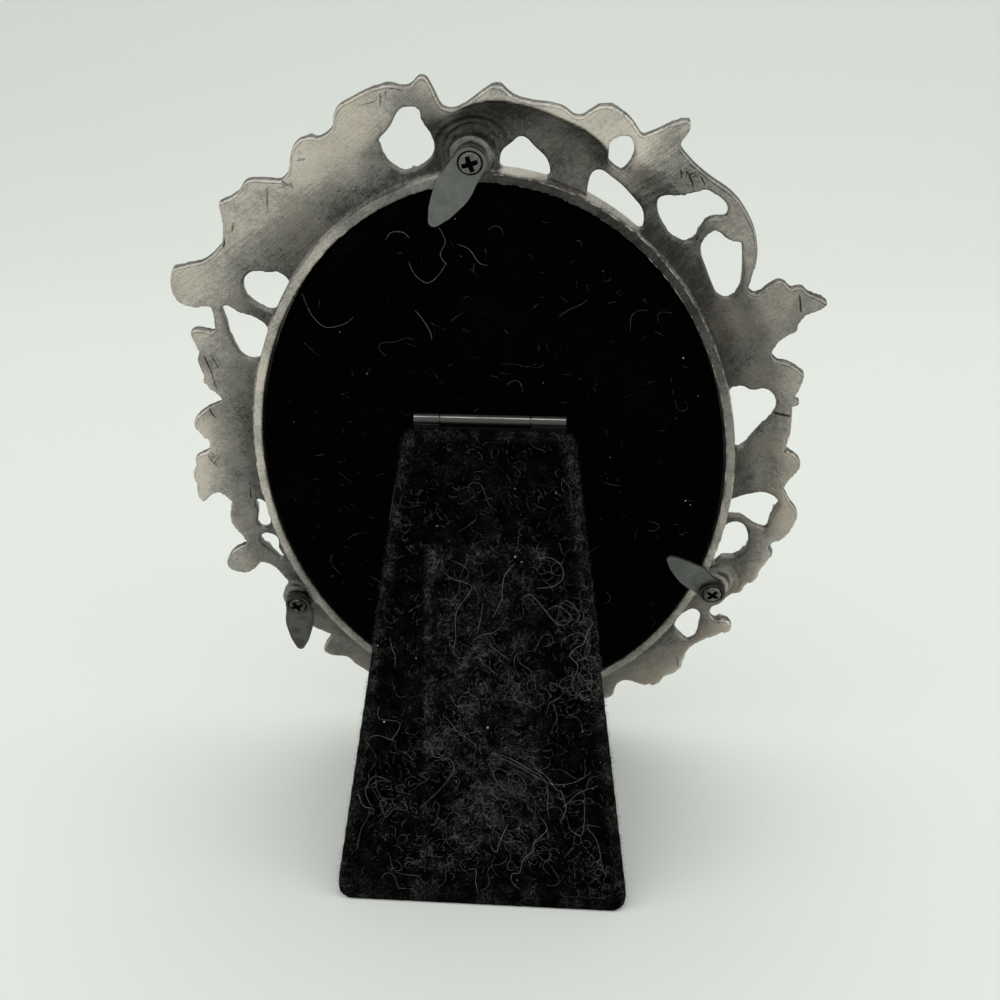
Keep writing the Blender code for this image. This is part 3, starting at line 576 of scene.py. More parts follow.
def frontRelief(work, points, clock, reach, edge):
    angles, tips = np.array(frontLeaves, float).T
    gap = (clock[:, None] - angles[None, :] + 180) % 360 - 180
    pick = np.abs(gap).argmin(axis=1)
    side = np.abs(np.radians(gap[np.arange(len(clock)), pick]) * np.hypot(points[:, 0], points[:, 2]) / mm)
    along = np.clip(reach / mm / tips[pick], 0, 1)
    veins = np.cos(2 * math.pi * (reach / mm - side * 0.9) / work["veinPace"]) ** 8
    forms = {
        "midrib": np.exp(-(side / 0.6) ** 2) * (1 - along * 0.6),
        "groove": np.exp(-((side - 1.25) / 0.45) ** 2),
        "veins": veins * smoothStep(side, 0.8, 1.7) * smoothStep(edge, 0.3 * mm, 1.4 * mm),
        "curl": np.cos(math.pi * np.clip(side / 6, 0, 1)),
    }
    rise = work["rise"] * smoothStep(edge, 0, 2.4 * mm)
    shade = work["tone"] + work["besideRim"] * (1 - smoothStep(reach, 1 * mm, 4 * mm))
    for name, form in forms.items():
        height, tone = work[name]
        rise = rise + height * form
        shade = shade + tone * form
    return rise * mm, shade


# raised rings and their dirt round the screw bosses
def ringFields(sizes, points):
    onBoss = np.zeros(len(points), bool)
    rings, ringDirt = np.zeros(len(points)), np.zeros(len(points))
    for name, spot in sizes["buttonSpots"].items():
        far = farFrom(points, *spot)
        onBoss |= (far < sizes["bossRadius"]) & (points[:, 1] > -2.6 * mm)
        wave = np.cos((far - sizes["firstRing"]) * math.tau / sizes["ringPace"])
        rings += sizes["rings"][name] * wave * within(far, 4.0, 4.6, 5.6, 6.8)
        dirt = sizes["rings"][name] / sizes["dirtyRing"] * within(far, 4.2, 4.6, 6.5, 8.5)
        ringDirt += dirt * (0.5 - 0.5 * wave)
    return onBoss, rings, ringDirt


# the dish's even hollow, and the crisp step to the flat faces round the top of it
def hollowFields(sizes, clock, reach, level, back):
    dish = dishLevel(sizes, clock, reach)
    level = np.where(back & (np.abs(level - dish) < sizes["facetHeight"]), dish, level)
    inTop = within((clock + 10) % 360, 5.5, 9, 26, 28)
    start = byClock(hollowEdge, clock) * mm
    ground = smoothStep(reach - start, -0.25 * mm, 0.25 * mm)
    share = np.clip((start - reach) / (start - sizes["hollowCentre"]), 0, 1)
    brink = sizes["flatLevel"] - sizes["hollowStep"]
    deepest = np.minimum(dishLevel(sizes, clock, np.full(len(clock), sizes["hollowCentre"])), brink)
    hollow = brink + (deepest - brink) * np.sin(math.pi / 2 * share)
    crispLevel = sizes["flatLevel"] * ground + (1 - ground) * np.minimum(level, hollow)
    taken = np.where(back, inTop * smoothStep(reach, 3.5 * mm, 4.5 * mm), 0)
    return level + (crispLevel - level) * taken, inTop * (1 - ground)


# painted light and shade on the leaves: how light each place is, from its height, its reach and the clock
def leafShade(tones, points, clock, reach, level, inHollow, ringDirt):
    height = smoothStep(level, -2.9 * mm, -0.45 * mm)
    outward = smoothStep(reach, 1 * mm, 10 * mm)
    tone = tones["base"] + tones["byHeight"] * height + tones["byReach"] * outward
    tone *= byClock(leafTone, clock)
    tone *= 1 - tones["besideRim"] * (1 - smoothStep(reach, 0.4 * mm, 2.6 * mm))
    # painted shade: the top hollow is darkened
    deepTone = tones["deep"] + tones["deepRise"] * smoothStep((clock + 10) % 360, 10, 20)
    tone += (deepTone - tone) * np.clip(inHollow * smoothStep(level, 0, -1.0 * mm) * 1.3, 0, 1)
    for dirtClock, dirtReach, size, dark in dirtSpots:
        tone *= 1 - dark * np.exp(-(farFrom(points, dirtClock, dirtReach) / size) ** 2)
    return tone * (1 - tones["rings"] * ringDirt)


def makeCasting(sizes, tones, work):
    piece = fineCopy("frame_casting", "leafBorderCasting", sizes["voxel"], panelMatrix)
    mesh = piece.data
    smoothMesh(mesh, sizes["smoothRounds"])
    toPanel = panelMatrix.inverted()
    points = moved(meshArray(mesh), toPanel)
    facing = normalsOf(mesh) @ np.array(toPanel)[:3, :3].T
    outward = facing[:, 1]
    clock, reach = clockAndReach(points[:, 0], points[:, 2])
    onBoss, rings, ringDirt = ringFields(sizes, points)
    onBorder = reach > sizes["rimEdge"]
    wall = (np.abs(outward) < 0.5) & onBorder & ~onBoss
    outer = np.flatnonzero(wall & ((reach > 1.2 * mm) | (points[:, 1] < -1.5 * mm)))
    edge, closest = nearest(points, points[outer])
    back = (outward > sizes["backFacing"]) & onBorder & ~onBoss
    front = (outward < sizes["frontFacing"]) & onBorder
    level, inHollow = hollowFields(sizes, clock, reach, points[:, 1], back)
    # rounded outer edges, rings round the bosses, and a slight unevenness
    bevel = 1 - np.clip(edge / sizes["edgeRound"], 0, 1)
    drop = sizes["edgeDrop"] * (1 - np.sqrt(np.clip(1 - bevel ** 2, 0, 1)))
    soft = softNoise(points, 220, 3) + 0.5 * softNoise(points, 520, 5)
    level = level + np.where(back, rings - drop + soft * sizes["unevenness"], 0)
    relief, frontShade = frontRelief(work, points, clock, reach, edge)
    level = np.where(front, level - relief * smoothStep(reach, 0.4 * mm, 2 * mm), level)
    points[:, 1] = level
    setPlaces(mesh, moved(points, panelMatrix))
    tone = leafShade(tones, points, clock, reach, level, inHollow, ringDirt)
    # painted shade: walls darken the lower they sit under the flat faces; the rim's face and sides take
    # painted light by clock angle
    under = level - sizes["flatLevel"] + 2.5 * mm * (1 - smoothStep(reach, 3 * mm, 10 * mm))
    wallTone = tones["wall"] * byClock(leafTone, clock) + tones["wallBase"]
    wallTone *= 1 - tones["underside"] * smoothStep(-under, 0.9 * mm, 1.6 * mm)
    tone = np.where((outward < sizes["backFacing"]) & onBorder, wallTone, tone)
    tone = np.where(front, frontShade, tone)
    onRimFace = ~onBorder & (outward > 0.3)
    rimShade = np.where(outward < -0.3, tones["rimFront"], byClock(rimSideTone, clock))
    tone = np.where(onBorder, tone, np.where(onRimFace, byClock(rimTone, clock), rimShade))
    nickFar, nickSide = nickFields(points)
    storeAttributes(
        mesh,
        tone=tone,
        edge=np.clip(edge / mm, 0, 4),
        edgeUp=facing[outer[closest], 2],
        outline=back * smoothStep(reach, 4.5 * mm, 7.5 * mm),
        rimFace=onRimFace,
        onBack=back,
        rimReach=np.clip(reach / mm, -4, 2),
        brown=byClock(brownShare, clock) * (~onRimFace),
        brushed=byClock(brushShare, clock),
        worn=byClock(wornShare, clock) * onRimFace,
        nickFar=nickFar,
        nickSide=nickSide,
    )
    print("casting triangles", sum(len(face.vertices) - 2 for face in mesh.polygons))
    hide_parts("frame_casting")
    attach(piece, "frame")
    mesh.shade_smooth()
    return piece


castingPiece = makeCasting(casting, castTones, frontWork)
print("casting made")

# each texture has its scale, detail and roughness, then how far it shifts the tone
pewter = {
    "dark": (0.03, 0.028, 0.025),
    "middle": (0.235, 0.228, 0.212),
    "light": (0.68, 0.63, 0.555),
    "brown": (0.36, 0.275, 0.185),
    "textures": {
        "patch": (230, 4.0, 0.6, 0.065),
        "grain": (1300, 4.0, 0.65, 0.085),
        "grit": (4600, 2.0, 0.6, 0.1),
        "stain": (95, 3.0, 0.55, 0.1),
    },
    "brushTurn": -38,
    "brushScale": (130, 130, 4200),
    "brushTone": 0.07,
    "brushDepth": 0.04 * mm,
    "pitScale": 620,
    "pit": 0.22,
    "nick": 0.55,
    "worn": 0.75,
    "edgeLine": 0.4,
    "bead": 0.1,
    "faceEdge": 0.12,
    "sightEdge": 1.66,
    "rough": (0.36, 0.54),
    "rimRough": 0.08,
}


def pewterFinish(look):
    finish = Finish("groundPewter")
    # the casting's tone attribute carries its painted light and shade
    tone, edge, edgeUp = (finish[name] for name in ("tone", "edge", "edgeUp"))
    back, brushed = finish["onBack"], finish["brushed"]
    stroke = finish.streaks(look["brushTurn"], look["brushScale"], 0.7)
    change = stroke.ranged(0.3, 0.7, -look["brushTone"], look["brushTone"]) * brushed
    textures = {}
    for name, (scale, detail, rough, shift) in look["textures"].items():
        textures[name] = finish.noise(scale, detail, rough)
        change += textures[name].ranged(0.3, 0.7, -shift, shift)
    patch, grain, grit, stain = textures.values()
    pits = finish.add("ShaderNodeTexVoronoi", "Distance", {"Scale": look["pitScale"], "Vector": finish.spot})
    pit = pits.ranged(0.04, 0.15, 1, 0) * patch.ranged(0.5, 0.6)
    # the ground face ends in a painted dark line of shade a little inside the outline, stronger where the
    # edge faces up, and beyond it a painted highlight on up-facing edges and painted shade on down-facing
    # ones
    wander = finish.noise(420, 3.0, 0.6).ranged(0.3, 0.7, 0.3, 0.5)
    line = abs(edge - wander).ranged(0.02, 0.1, 1, 0) * finish["outline"]
    line *= edgeUp.ranged(-0.3, 0.5, 0.15, 1)
    line *= patch.ranged(0.38, 0.52, 0.25, 1)
    bead = edge.ranged(0.16, 0.32, 1, 0) * back * edgeUp.ranged(-0.8, 0.8, -0.8, 1)
    # single nicks and creases
    nick = abs(finish["nickSide"]).ranged(0.02, 0.26, 1, 0)
    nick *= finish["nickFar"].ranged(0.25, 0.5, 1, 0)
    nick *= back * grain.ranged(0.3, 0.6, 0.35, 1)
    # bright lines along both edges of the rim's face, where it is dark: partly wear, partly a painted
    # highlight
    reach = finish["rimReach"]
    fromEdges = finish.math("MINIMUM", abs(reach + look["faceEdge"]), abs(reach + look["sightEdge"]))
    worn = fromEdges.ranged(0.02, 0.12, 1, 0) * finish["worn"]
    worn *= finish.noise(640, 5.0, 0.75).ranged(0.46, 0.56, 0.02, 1.2)
    value = tone + change * tone.ranged(0, 0.5, 0.3, 1.2) + worn * look["worn"] + bead * look["bead"]
    value = value - line * look["edgeLine"] - nick * look["nick"]
    value = finish.math("SUBTRACT", value, pit * look["pit"], clamp=True)
    metal = finish.mixed(value.ranged(0, 0.36), look["dark"], look["middle"])
    metal = finish.mixed(value.ranged(0.3, 1), metal, look["light"])
    dirty = stain.ranged(0.42, 0.62, 0.05, 0.55) * finish["brown"]
    dirty *= grain.ranged(0.35, 0.6, 0.35, 1)
    brown = finish.mixed(value, look["dark"], look["brown"])
    rimRough = finish["rimFace"] * look["rimRough"]
    finish.shade({
        "Metallic": 1.0,
        "Base Color": finish.mixed(dirty, metal, brown),
        "Roughness": grain.ranged(0.3, 0.7, *look["rough"]) + rimRough,
    })
    height = stroke * brushed * 0.5 + grain + grit * 0.35 - pit - finish.math("MAXIMUM", line, nick) * 1.6
    finish.bump(height, look["brushDepth"], 0.6)
    return finish


dress(castingPiece, pewterFinish(pewter))
print("pewter finished")

# velvet stretched over the back board and the leg
velvet = {
    "voxel": 0.55 * mm,
    "nap": 0.06 * mm,
    "backHalf": (44.1 * mm, 63.1 * mm),
    "backLevel": -0.5 * mm,
    "hemLevel": -2.5 * mm,
    "edgeRound": 0.45 * mm,
    "segments": (148, 210),
    "colour": (0.0003, 0.0003, 0.0003),
    "dustColour": (0.043, 0.044, 0.042),
    "cloud": (330, 5.0, 0.7),
    "speck": (2100, 3.0, 0.75),
    "surface": {
        "Roughness": 0.95, "Specular IOR Level": 0.008, "Sheen Weight": 0.002, "Sheen Roughness": 0.55,
    },
    "weave": 0.12 * mm,
}

# dust on the leg in boxes: low and high corner, softness, even share, clumped share, and how far it fades
dustBoxes = [
    ((-10.8, -88), (11.5, -23.2), 0.5, 0.12, 0.4, 0.5),
    ((-10.8, -25.2), (11.5, -23.0), 0.35, 0.45, 0.8, 0),
    ((9.6, -70), (11.5, -23.2), 0.4, 0.25, 0.6, 0),
]

# dust on the leg in round clumps: across, up, how wide, and its share
dustClumps = [(2.2, -44, 4.5, 0.9), (-0.1, -73, 5.5, 1.0), (1.0, -24.5, 5, 0.4), (4, -58, 6, 0.35)]


def velvetFinish(look):
    finish = Finish("blackVelvet")
    cloud, speck = finish.noise(*look["cloud"]), finish.noise(*look["speck"])
    # dust, and painted sheen along the leg's edges, lighten the velvet
    amount = finish["dust"] * cloud.ranged(0.4, 0.64, 0.1, 1)
    amount *= speck.ranged(0.42, 0.68, 0.12, 1.3)
    finish.shade({"Base Color": finish.mixed(amount, look["colour"], look["dustColour"]), **look["surface"]})
    finish.bump(speck + cloud, look["weave"], 0.8)
    return finish


velvetBlack = velvetFinish(velvet)


# a square grid's place spread over the unit disc
def onDisc(vert):
    u, v = vert.co.x, vert.co.y
    return u * math.sqrt(1 - v * v / 2), v * math.sqrt(1 - u * u / 2)


def ovalSheet(pieceName, look):
    form = bmesh.new()
    bmesh.ops.create_grid(form, x_segments=look["segments"][0], y_segments=look["segments"][1], size=1)
    half = look["backHalf"]
    for vert in form.verts:
        x, y = onDisc(vert)
        inset = (1 - min(1, math.hypot(x, y))) * half[0]
        turned = max(0, 1 - inset / look["edgeRound"])
        drop = look["edgeRound"] * (1 - math.sqrt(max(0, 1 - turned * turned)))
        vert.co = (x * half[0], look["backLevel"] - drop, y * half[1])
    for vert in extruded(form, boundary(form)):
        vert.co.y = look["hemLevel"]
    bmesh.ops.recalc_face_normals(form, faces=form.faces)
    middle = min(form.faces, key=lambda face: face.calc_center_median().length)
    if middle.normal.y < 0:
        bmesh.ops.reverse_faces(form, faces=form.faces)
    piece = linked(pieceName, meshFrom(form, pieceName))
    piece.data.transform(panelMatrix)
    return piece


def makeVelvet(nodeName, pieceName, body, look, dustOf):
    if nodeName == "back_velvet":
        piece = ovalSheet(pieceName, look)
    else:
        piece = fineCopy(nodeName, pieceName, look["voxel"], legMatrix)
        smoothMesh(piece.data, 2)
    mesh = piece.data
    points = meshArray(mesh)
    nap = (softNoise(points, 900, 7) * 0.6 + softNoise(points, 2100, 9) * 0.4) * look["nap"]
    setPlaces(mesh, points + normalsOf(mesh) * nap[:, None])
    storeAttributes(mesh, dust=dustOf(points))
    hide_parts(nodeName)
    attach(piece, body)
    mesh.shade_smooth()
    dress(piece, velvetBlack)
    return piece


def backDust(points):
    return 0.008 + 0.12 * np.clip(softNoise(points, 60, 2) - 0.12, 0, 1)


def legHalf(up):
    grown = (legTaper["footWidth"] - legTaper["topWidth"]) * (-up - legTaper["topEdge"]) / legTaper["length"]
    return (legTaper["topWidth"] + grown) / 2


def legDust(points):
    local = moved(points, legMatrix.inverted())
    across, up = local[:, 0] / mm, local[:, 2] / mm
    clumps = np.clip(softNoise(points, 210, 6) * 1.8 + 0.3, 0, 1)
    dust = 0.13 + 0.18 * np.clip(softNoise(points, 75, 4) + 0.15, 0, 1)
    for low, high, soft, even, clumped, faded in dustBoxes:
        share = even + clumped * clumps
        for value, least, most in ((across, low[0], high[0]), (up, low[1], high[1])):
            share = share * within(value, least - soft, least + soft, most - soft, most + soft)
        dust += share * (1 - faded * smoothStep(up, -60, -84))
    for middle, high, wide, share in dustClumps:
        far = ((across - middle) ** 2 + (up - high) ** 2 * 0.6) / wide ** 2
        dust += share * np.exp(-far) * (0.35 + 0.65 * clumps)
    # painted sheen along the sides, the foot and the top
    rim = 0.8 * smoothStep(np.abs(across), legHalf(up) - 2.8, legHalf(up) - 1.2)
    rim = np.maximum(rim, (0.12 + 0.3 * clumps) * (1 - smoothStep(up, -91, -88.5)))
    rim = np.maximum(rim, 0.35 * smoothStep(up, -4.5, -2.5))
    return np.clip(dust + rim, 0, 1.4)


makeVelvet("back_velvet", "velvetBack", "frame", velvet, backDust)
legVelvet = makeVelvet("leg_velvet", "velvetLeg", "leg", velvet, legDust)
print("velvet laid")

# pile that stands off the leg's edges, and lint caught on the velvet
pile = {
    "edgeCount": 11000,
    "faceCount": 14000,
    "edgeLength": 0.8 * mm,
    "faceLength": 0.36 * mm,
    "thickness": 0.015 * mm,
    "lowest": 1.0 * mm,
    "colour": (0.001, 0.001, 0.001),
    "dustColour": (0.08, 0.082, 0.079),
}
lint = {
    "thickness": 0.012 * mm,
    "lift": 0.16 * mm,
    "pace": 0.28,
    "colour": (0.36, 0.37, 0.36),
    "grainColour": (0.62, 0.61, 0.57),
    "longOnBack": 34,
    "shortOnBack": 200,
    "longOnLeg": 180,
    "shortOnLeg": 1700,
    "grainsOnBack": 16,
    "grainsOnLeg": 22,
    "specks": 0.13 * mm,
    "backHalf": (43, 62),
    "legUp": (-91, -2.5),
}


def plainFinish(name, colour, rough, metal=0.0, grain=0.25, scale=1800, depth=0.02 * mm):
    finish = Finish(name)
    fleck = finish.noise(scale, 4.0, 0.6)
    low = tuple(value * (1 - grain) for value in colour)
    high = tuple(min(1, value * (1 + grain)) for value in colour)
    finish.colour = finish.mixed(fleck.ranged(0.3, 0.7), low, high)
    finish.shade({
        "Base Color": finish.colour,
        "Roughness": fleck.ranged(0.3, 0.7, max(0.05, rough - 0.08), min(1, rough + 0.08)),
        "Metallic": metal,
    })
    finish.bump(fleck, depth, 0.5)
    return finish


def strandTemplate(look):
    form = bmesh.new()
    foot = look["thickness"]
    bmesh.ops.create_cone(form, segments=3, radius1=foot, radius2=foot * 0.2, depth=1, cap_ends=True)
    bmesh.ops.translate(form, verts=form.verts, vec=(0, 0, 0.5))
    return meshFrom(form, "strand")


def scatter(name, template, places):
    coords = meshArray(template)
    loops = np.array([list(face.vertices) for face in template.polygons if len(face.vertices) == 4])
    spots = np.einsum("nij,kj->nki", places[:, :3, :3], coords) + places[:, None, :3, 3]
    faces = loops[None] + (np.arange(len(places)) * len(coords))[:, None, None]
    mesh = bpy.data.meshes.new(name)
    mesh.from_pydata(spots.reshape(-1, 3).tolist(), [], faces.reshape(-1, loops.shape[1]).tolist())
    return linked(name, mesh)


def makePile(look):
    dice = random.Random(11)
    mesh = legVelvet.data
    spots, normals = meshArray(mesh), normalsOf(mesh)
    local = moved(spots, legMatrix.inverted())
    out = normals @ np.array(legMatrix)[:3, :3]
    half = legHalf(local[:, 2] / mm)
    shown = (local[:, 1] > 0.2 * mm) & (spots[:, 2] > look["lowest"])
    rim = shown & ((np.abs(local[:, 0]) / mm > half - 2.6) | (np.abs(out[:, 1]) < 0.8))
    face = shown & ~rim & (out[:, 1] > 0.8)
    dust = np.empty(len(spots), np.float32)
    mesh.attributes["dust"].data.foreach_get("value", dust)
    places, greys = [], []
    for group, count, length in (
        (np.flatnonzero(rim), look["edgeCount"], look["edgeLength"]),
        (np.flatnonzero(face), look["faceCount"], look["faceLength"]),
    ):
        for _ in range(count):
            index = int(dice.choice(group))
            spot = Vector(spots[index]) + Vector([dice.uniform(-0.3, 0.3) * mm for _ in range(3)])
            lean = Vector([dice.gauss(0, 0.6) for _ in range(3)])
            away = (Vector(normals[index]) + lean).normalized()
            long = Matrix.Diagonal((1, 1, length * dice.uniform(0.4, 1.1), 1))
            turn = away.to_track_quat("Z", "Y").to_matrix().to_4x4()
            places.append(np.array(Matrix.Translation(spot - away * 0.1 * mm) @ turn @ long))
            # each strand is greyer with the dust and painted sheen where it stands
            greys.append(min(1, max(0, dust[index])) * dice.uniform(0.15, 1.0) ** 1.5)
    template = strandTemplate(look)
    piece = scatter("velvetLegPile", template, np.array(places))
    storeAttributes(piece.data, dust=np.repeat(greys, len(template.vertices)))
    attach(piece, "leg")
    finish = Finish("pileTips")
    finish.shade({
        "Base Color": finish.mixed(finish["dust"], look["colour"], look["dustColour"]),
        "Roughness": 0.9,
        "Specular IOR Level": 0.1,
    })
    dress(piece, finish)


def strandPath(dice, start, heading, length, curl, pace):
    path = [Vector((start[0] * mm, start[1] * mm, 0))]
    bend, drift = curl * dice.uniform(0.5, 1.3), curl * dice.uniform(-0.6, 0.6)
    slow, phase = dice.uniform(0.35, 1.1), dice.uniform(0, 6)
    way = math.radians(heading)
    for step in range(max(3, int(length / pace))):
        way += (bend * math.sin(phase + slow * step * pace) + drift) * pace
        path.append(path[-1] + Vector((math.cos(way), math.sin(way), 0)) * pace * mm)
    return path


def keptOnBack(path):
    wide, tall = lint["backHalf"]
    for spot in path:
        far = math.hypot(spot.x / (wide * mm), spot.y / (tall * mm))
        if far > 1:
            spot /= far
    return path


def keptOnLeg(path):
    lowest, highest = lint["legUp"]
    for spot in path:
        spot.y = min(highest * mm, max(lowest * mm, spot.y))
        half = (legHalf(spot.y / mm) + 0.1) * mm
        spot.x = min(half, max(-half, spot.x))
    return path


def smoothPath(spots, perSpan=7):
    line = [Vector((across * mm, up * mm, 0)) for across, up in zip(spots[::2], spots[1::2])]
    path = []
    for before, start, stop, after in zip([line[0], *line], line, line[1:], [*line[2:], line[-1]]):
        for step in range(perSpan):
            share = step / perSpan
            bend = (2 * before - 5 * start + 4 * stop - after) * share ** 2
            bend += (3 * start - before - 3 * stop + after) * share ** 3
            path.append((2 * start + (stop - before) * share + bend) / 2)
    return path + [line[-1]]


def makeLint(name, body, place, surface, placed, hairs, kept, look, seed):
    dice = random.Random(seed)
    paths = [(smoothPath(spots), dice.uniform(0.9, 1.35)) for spots in placed]
    for across, up, heading, length, curl in hairs:
        path = kept(strandPath(dice, (across, up), heading, length, curl, look["pace"]))
        paths.append((path, dice.uniform(0.25, 0.5 if length < 2.5 else 0.65)))
    curve = bpy.data.curves.new(name, "CURVE")
    curve.dimensions = "3D"
    curve.bevel_depth = look["thickness"]
    curve.bevel_resolution = 0
    curve.resolution_u = 1
    for path, thin in paths:
        spline = curve.splines.new("POLY")
        spline.points.add(len(path) - 1)
        phase = dice.uniform(0, 6)
        for index, (point, spot) in enumerate(zip(spline.points, path)):
            lift = look["lift"] * (1 + 0.5 * math.sin(phase + index * 0.3))
            point.co = (*(place @ Vector((-spot.x, surface + lift, spot.y))), 1)
            point.radius = thin * math.sin(math.pi * (0.08 + 0.84 * index / (len(path) - 1))) ** 0.4
    holder = linked(name + "Path", curve)
    mesh = settled(holder)
    bpy.data.objects.remove(holder, do_unlink=True)
    mesh.name = name
    mesh.shade_smooth()
    piece = linked(name, mesh)
    dress(piece, lintGrey)
    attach(piece, body)
    print(name, "triangles", 2 * len(mesh.polygons))


def makeSpecks(name, body, place, surface, spots, look, seed):
    dice = random.Random(seed)
    form = bmesh.new()
    for across, up, size in spots:
        radius = size * look["specks"]
        spot = Matrix.Translation((-across * mm, surface + radius * 0.5, up * mm))
        shape = Matrix.Diagonal((dice.uniform(0.7, 1.5), dice.uniform(0.6, 1), dice.uniform(0.7, 1.3), 1))
        bmesh.ops.create_icosphere(form, subdivisions=1, radius=radius, matrix=place @ spot @ shape)
    piece = linked(name, meshFrom(form, name))
    dress(piece, paleGrain)
    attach(piece, body)


def spotOnBack(dice):
    turn, far = dice.uniform(0, math.tau), math.sqrt(dice.uniform(0, 1)) * 0.95
    return far * lint["backHalf"][0] * math.cos(turn), far * lint["backHalf"][1] * math.sin(turn)


def spotOnLeg(dice):
    up = -dice.uniform(3, 91)
    half = legHalf(up) - 1
    return dice.uniform(-half, half), up


def clumpOnLeg(dice):
    across, up, wide = dice.choice(lintClumps)
    half = legHalf(up) - 1.5
    across = min(half, max(-half, across + dice.gauss(0, wide * 0.6)))
    return across, min(-4, max(-90, up + dice.gauss(0, wide * 0.7)))


def fibres(dice, place, count, low, high, curl):
    return [
        (*place(dice), dice.uniform(0, 360), dice.uniform(low, high), curl * dice.uniform(0.4, 1.6))
        for _ in range(count)
    ]


def grains(dice, place, count):
    return [(*place(dice), dice.uniform(0.3, 0.7)) for _ in range(count)]


# where lint gathers on the leg: across, up and how wide, in millimetres from the hinge
lintClumps = [
    (-2, -44, 4), (0, -73, 5), (-4, -58, 5), (-18, -73, 5), (17, -38, 4), (19, -48, 3.5), (-9, -62, 5),
    (8, -68, 5), (10, -80, 6), (-10, -84, 5), (21, -86, 4), (-2, -77, 5), (6, -48, 6),
]

# single hairs as they lie: across and up by turns, in millimetres
hairsSeenOnBack = [
    [-32, 42.5, -31.5, 40, -30.5, 37.5, -28.5, 35.5, -25, 36.5, -23.5, 38],
    [-13, 49, -12, 46.5, -10, 45, -8, 46.5, -6.5, 49],
    [-7.5, 55.5, -6.5, 53, -7.5, 50.5, -6.5, 48.5],
    [-16.5, 53, -15.5, 54.5, -13.5, 54.5, -12.5, 53.5],
    [-4.5, 52.5, -2.5, 51.5, -1, 49, 0.5, 48.5],
    [-12.5, 39.5, -11, 37, -10, 34.5, -10, 33.5],
]
hairsSeenOnLeg = [
    [-8.5, -27.5, -6.5, -29.5, -3, -30.5, -3, -32, -5.5, -36, -5.5, -41, -6, -43],
    [5.5, -26, 3.5, -28.5, 3, -31.5, 3, -33, 1.5, -36.5],
    [-0.5, -34, -1, -37.5, -1.5, -40],
    [9.5, -25.2, 12, -25, 14, -26.6, 14.2, -28.8, 12.4, -30.4, 9.5, -30.8],
    [-22.5, -71, -20, -69.5, -18, -69.5],
    [-21, -71.5, -19.5, -74, -18.5, -76.5, -17, -75, -14.5, -75, -15, -73.5, -16, -73.5],
    [-24, -72, -23, -74.5, -21.5, -75],
    [-10, -61.5, -9.5, -64, -6.5, -64.5, -5.5, -66, -6, -67.5, -8, -70.5, -12, -74.5],
    [1.5, -63, 7, -65.5, 13, -68.5, 17.5, -68, 20.5, -66],
    [13.5, -34.5, 15, -33, 17, -34.5, 17.5, -36, 16.5, -37.5],
    [15, -40, 17.5, -39, 19.5, -41, 19, -43.5, 17, -44.5],
    [18.5, -45.5, 20, -47, 20, -49.5, 18, -50.5, 19, -52, 21, -51],
    [6.5, -33, 8, -32, 9.5, -33, 12, -36, 13.5, -37.5, 15, -37.5, 16, -36, 13.5, -34, 11.5, -35],
    [18.5, -36, 20, -37, 19, -39, 18.5, -41, 17, -42, 16, -43.5, 17.5, -45.5, 16.5, -49.5, 19.5, -52],
    [18, -50, 18.5, -48.5, 20, -48, 21, -48.5, 21.5, -49.5, 20.5, -50, 19.5, -49.5, 19.5, -48.5],
    [-18, -41, -17.5, -43.5, -17, -44.5, -17, -47],
    [-8, -56, -6.5, -57, -5, -59, -3.5, -60, -2, -61, -1, -62.5],
    [-20, -54.5, -20, -57, -16.5, -57.5, -16, -58.5, -17.5, -61, -19.5, -60.5, -21, -60.5, -22, -61.5],
    [1.5, -63, 4, -63.5, 6.5, -64.5, 9, -66, 11.5, -67.5, 12.5, -70, 12.5, -73.5, 13, -75.5],
    [9.5, -65.5, 12, -67, 14, -69.5, 15, -70, 15.5, -71.5, 16, -73.5, 15, -76],
    [22, -68.5, 18.5, -70, 16.5, -72, 15.5, -73],
    [15.5, -73, 17, -72, 19, -71.5, 19.5, -73, 19.5, -76.5, 19, -78.5, 17.5, -78, 16.5, -77],
    [20, -77, 21.5, -78.5, 22.5, -81, 23, -83.5, 23.5, -86],
    [
        11.5, -75.5, 12.5, -77.5, 11.5, -79, 10, -80.5, 10, -82, 8, -84, 7.5, -86.5, 6, -87, 6, -88.5,
        7.5, -90,
    ],
    [4.5, -66.5, 3, -66, 2, -67, 3, -69, 4.5, -70.5],
    [1.5, -80.5, 2, -82, 3, -82.5, 3.5, -80.5, 5, -77],
    [-17.5, -69.5, -20.5, -68.5, -22, -70, -22.5, -72, -21.5, -74.5],
    [-2.5, -86.5, -1, -86.5, -1, -89, -0.5, -91],
    [-6.5, -52, -5, -54, -2, -53.5],
    [1, -42, 3, -43.5, 4.5, -44.5],
    [3, -38.5, 1.5, -39.5, -0.5, -40, -2, -41],
]

# single pale grains: across, up and size
grainsSeenOnBack = [(34.5, 30.5, 1.2), (37.5, -3, 1.2), (38.5, -4, 0.9)]
grainsSeenOnLeg = [
    (5.3, -25, 1.3), (0.8, -58, 1.5), (-19, -57.7, 0.9), (13.2, -68.6, 0.8), (-13, -45, 0.8),
]

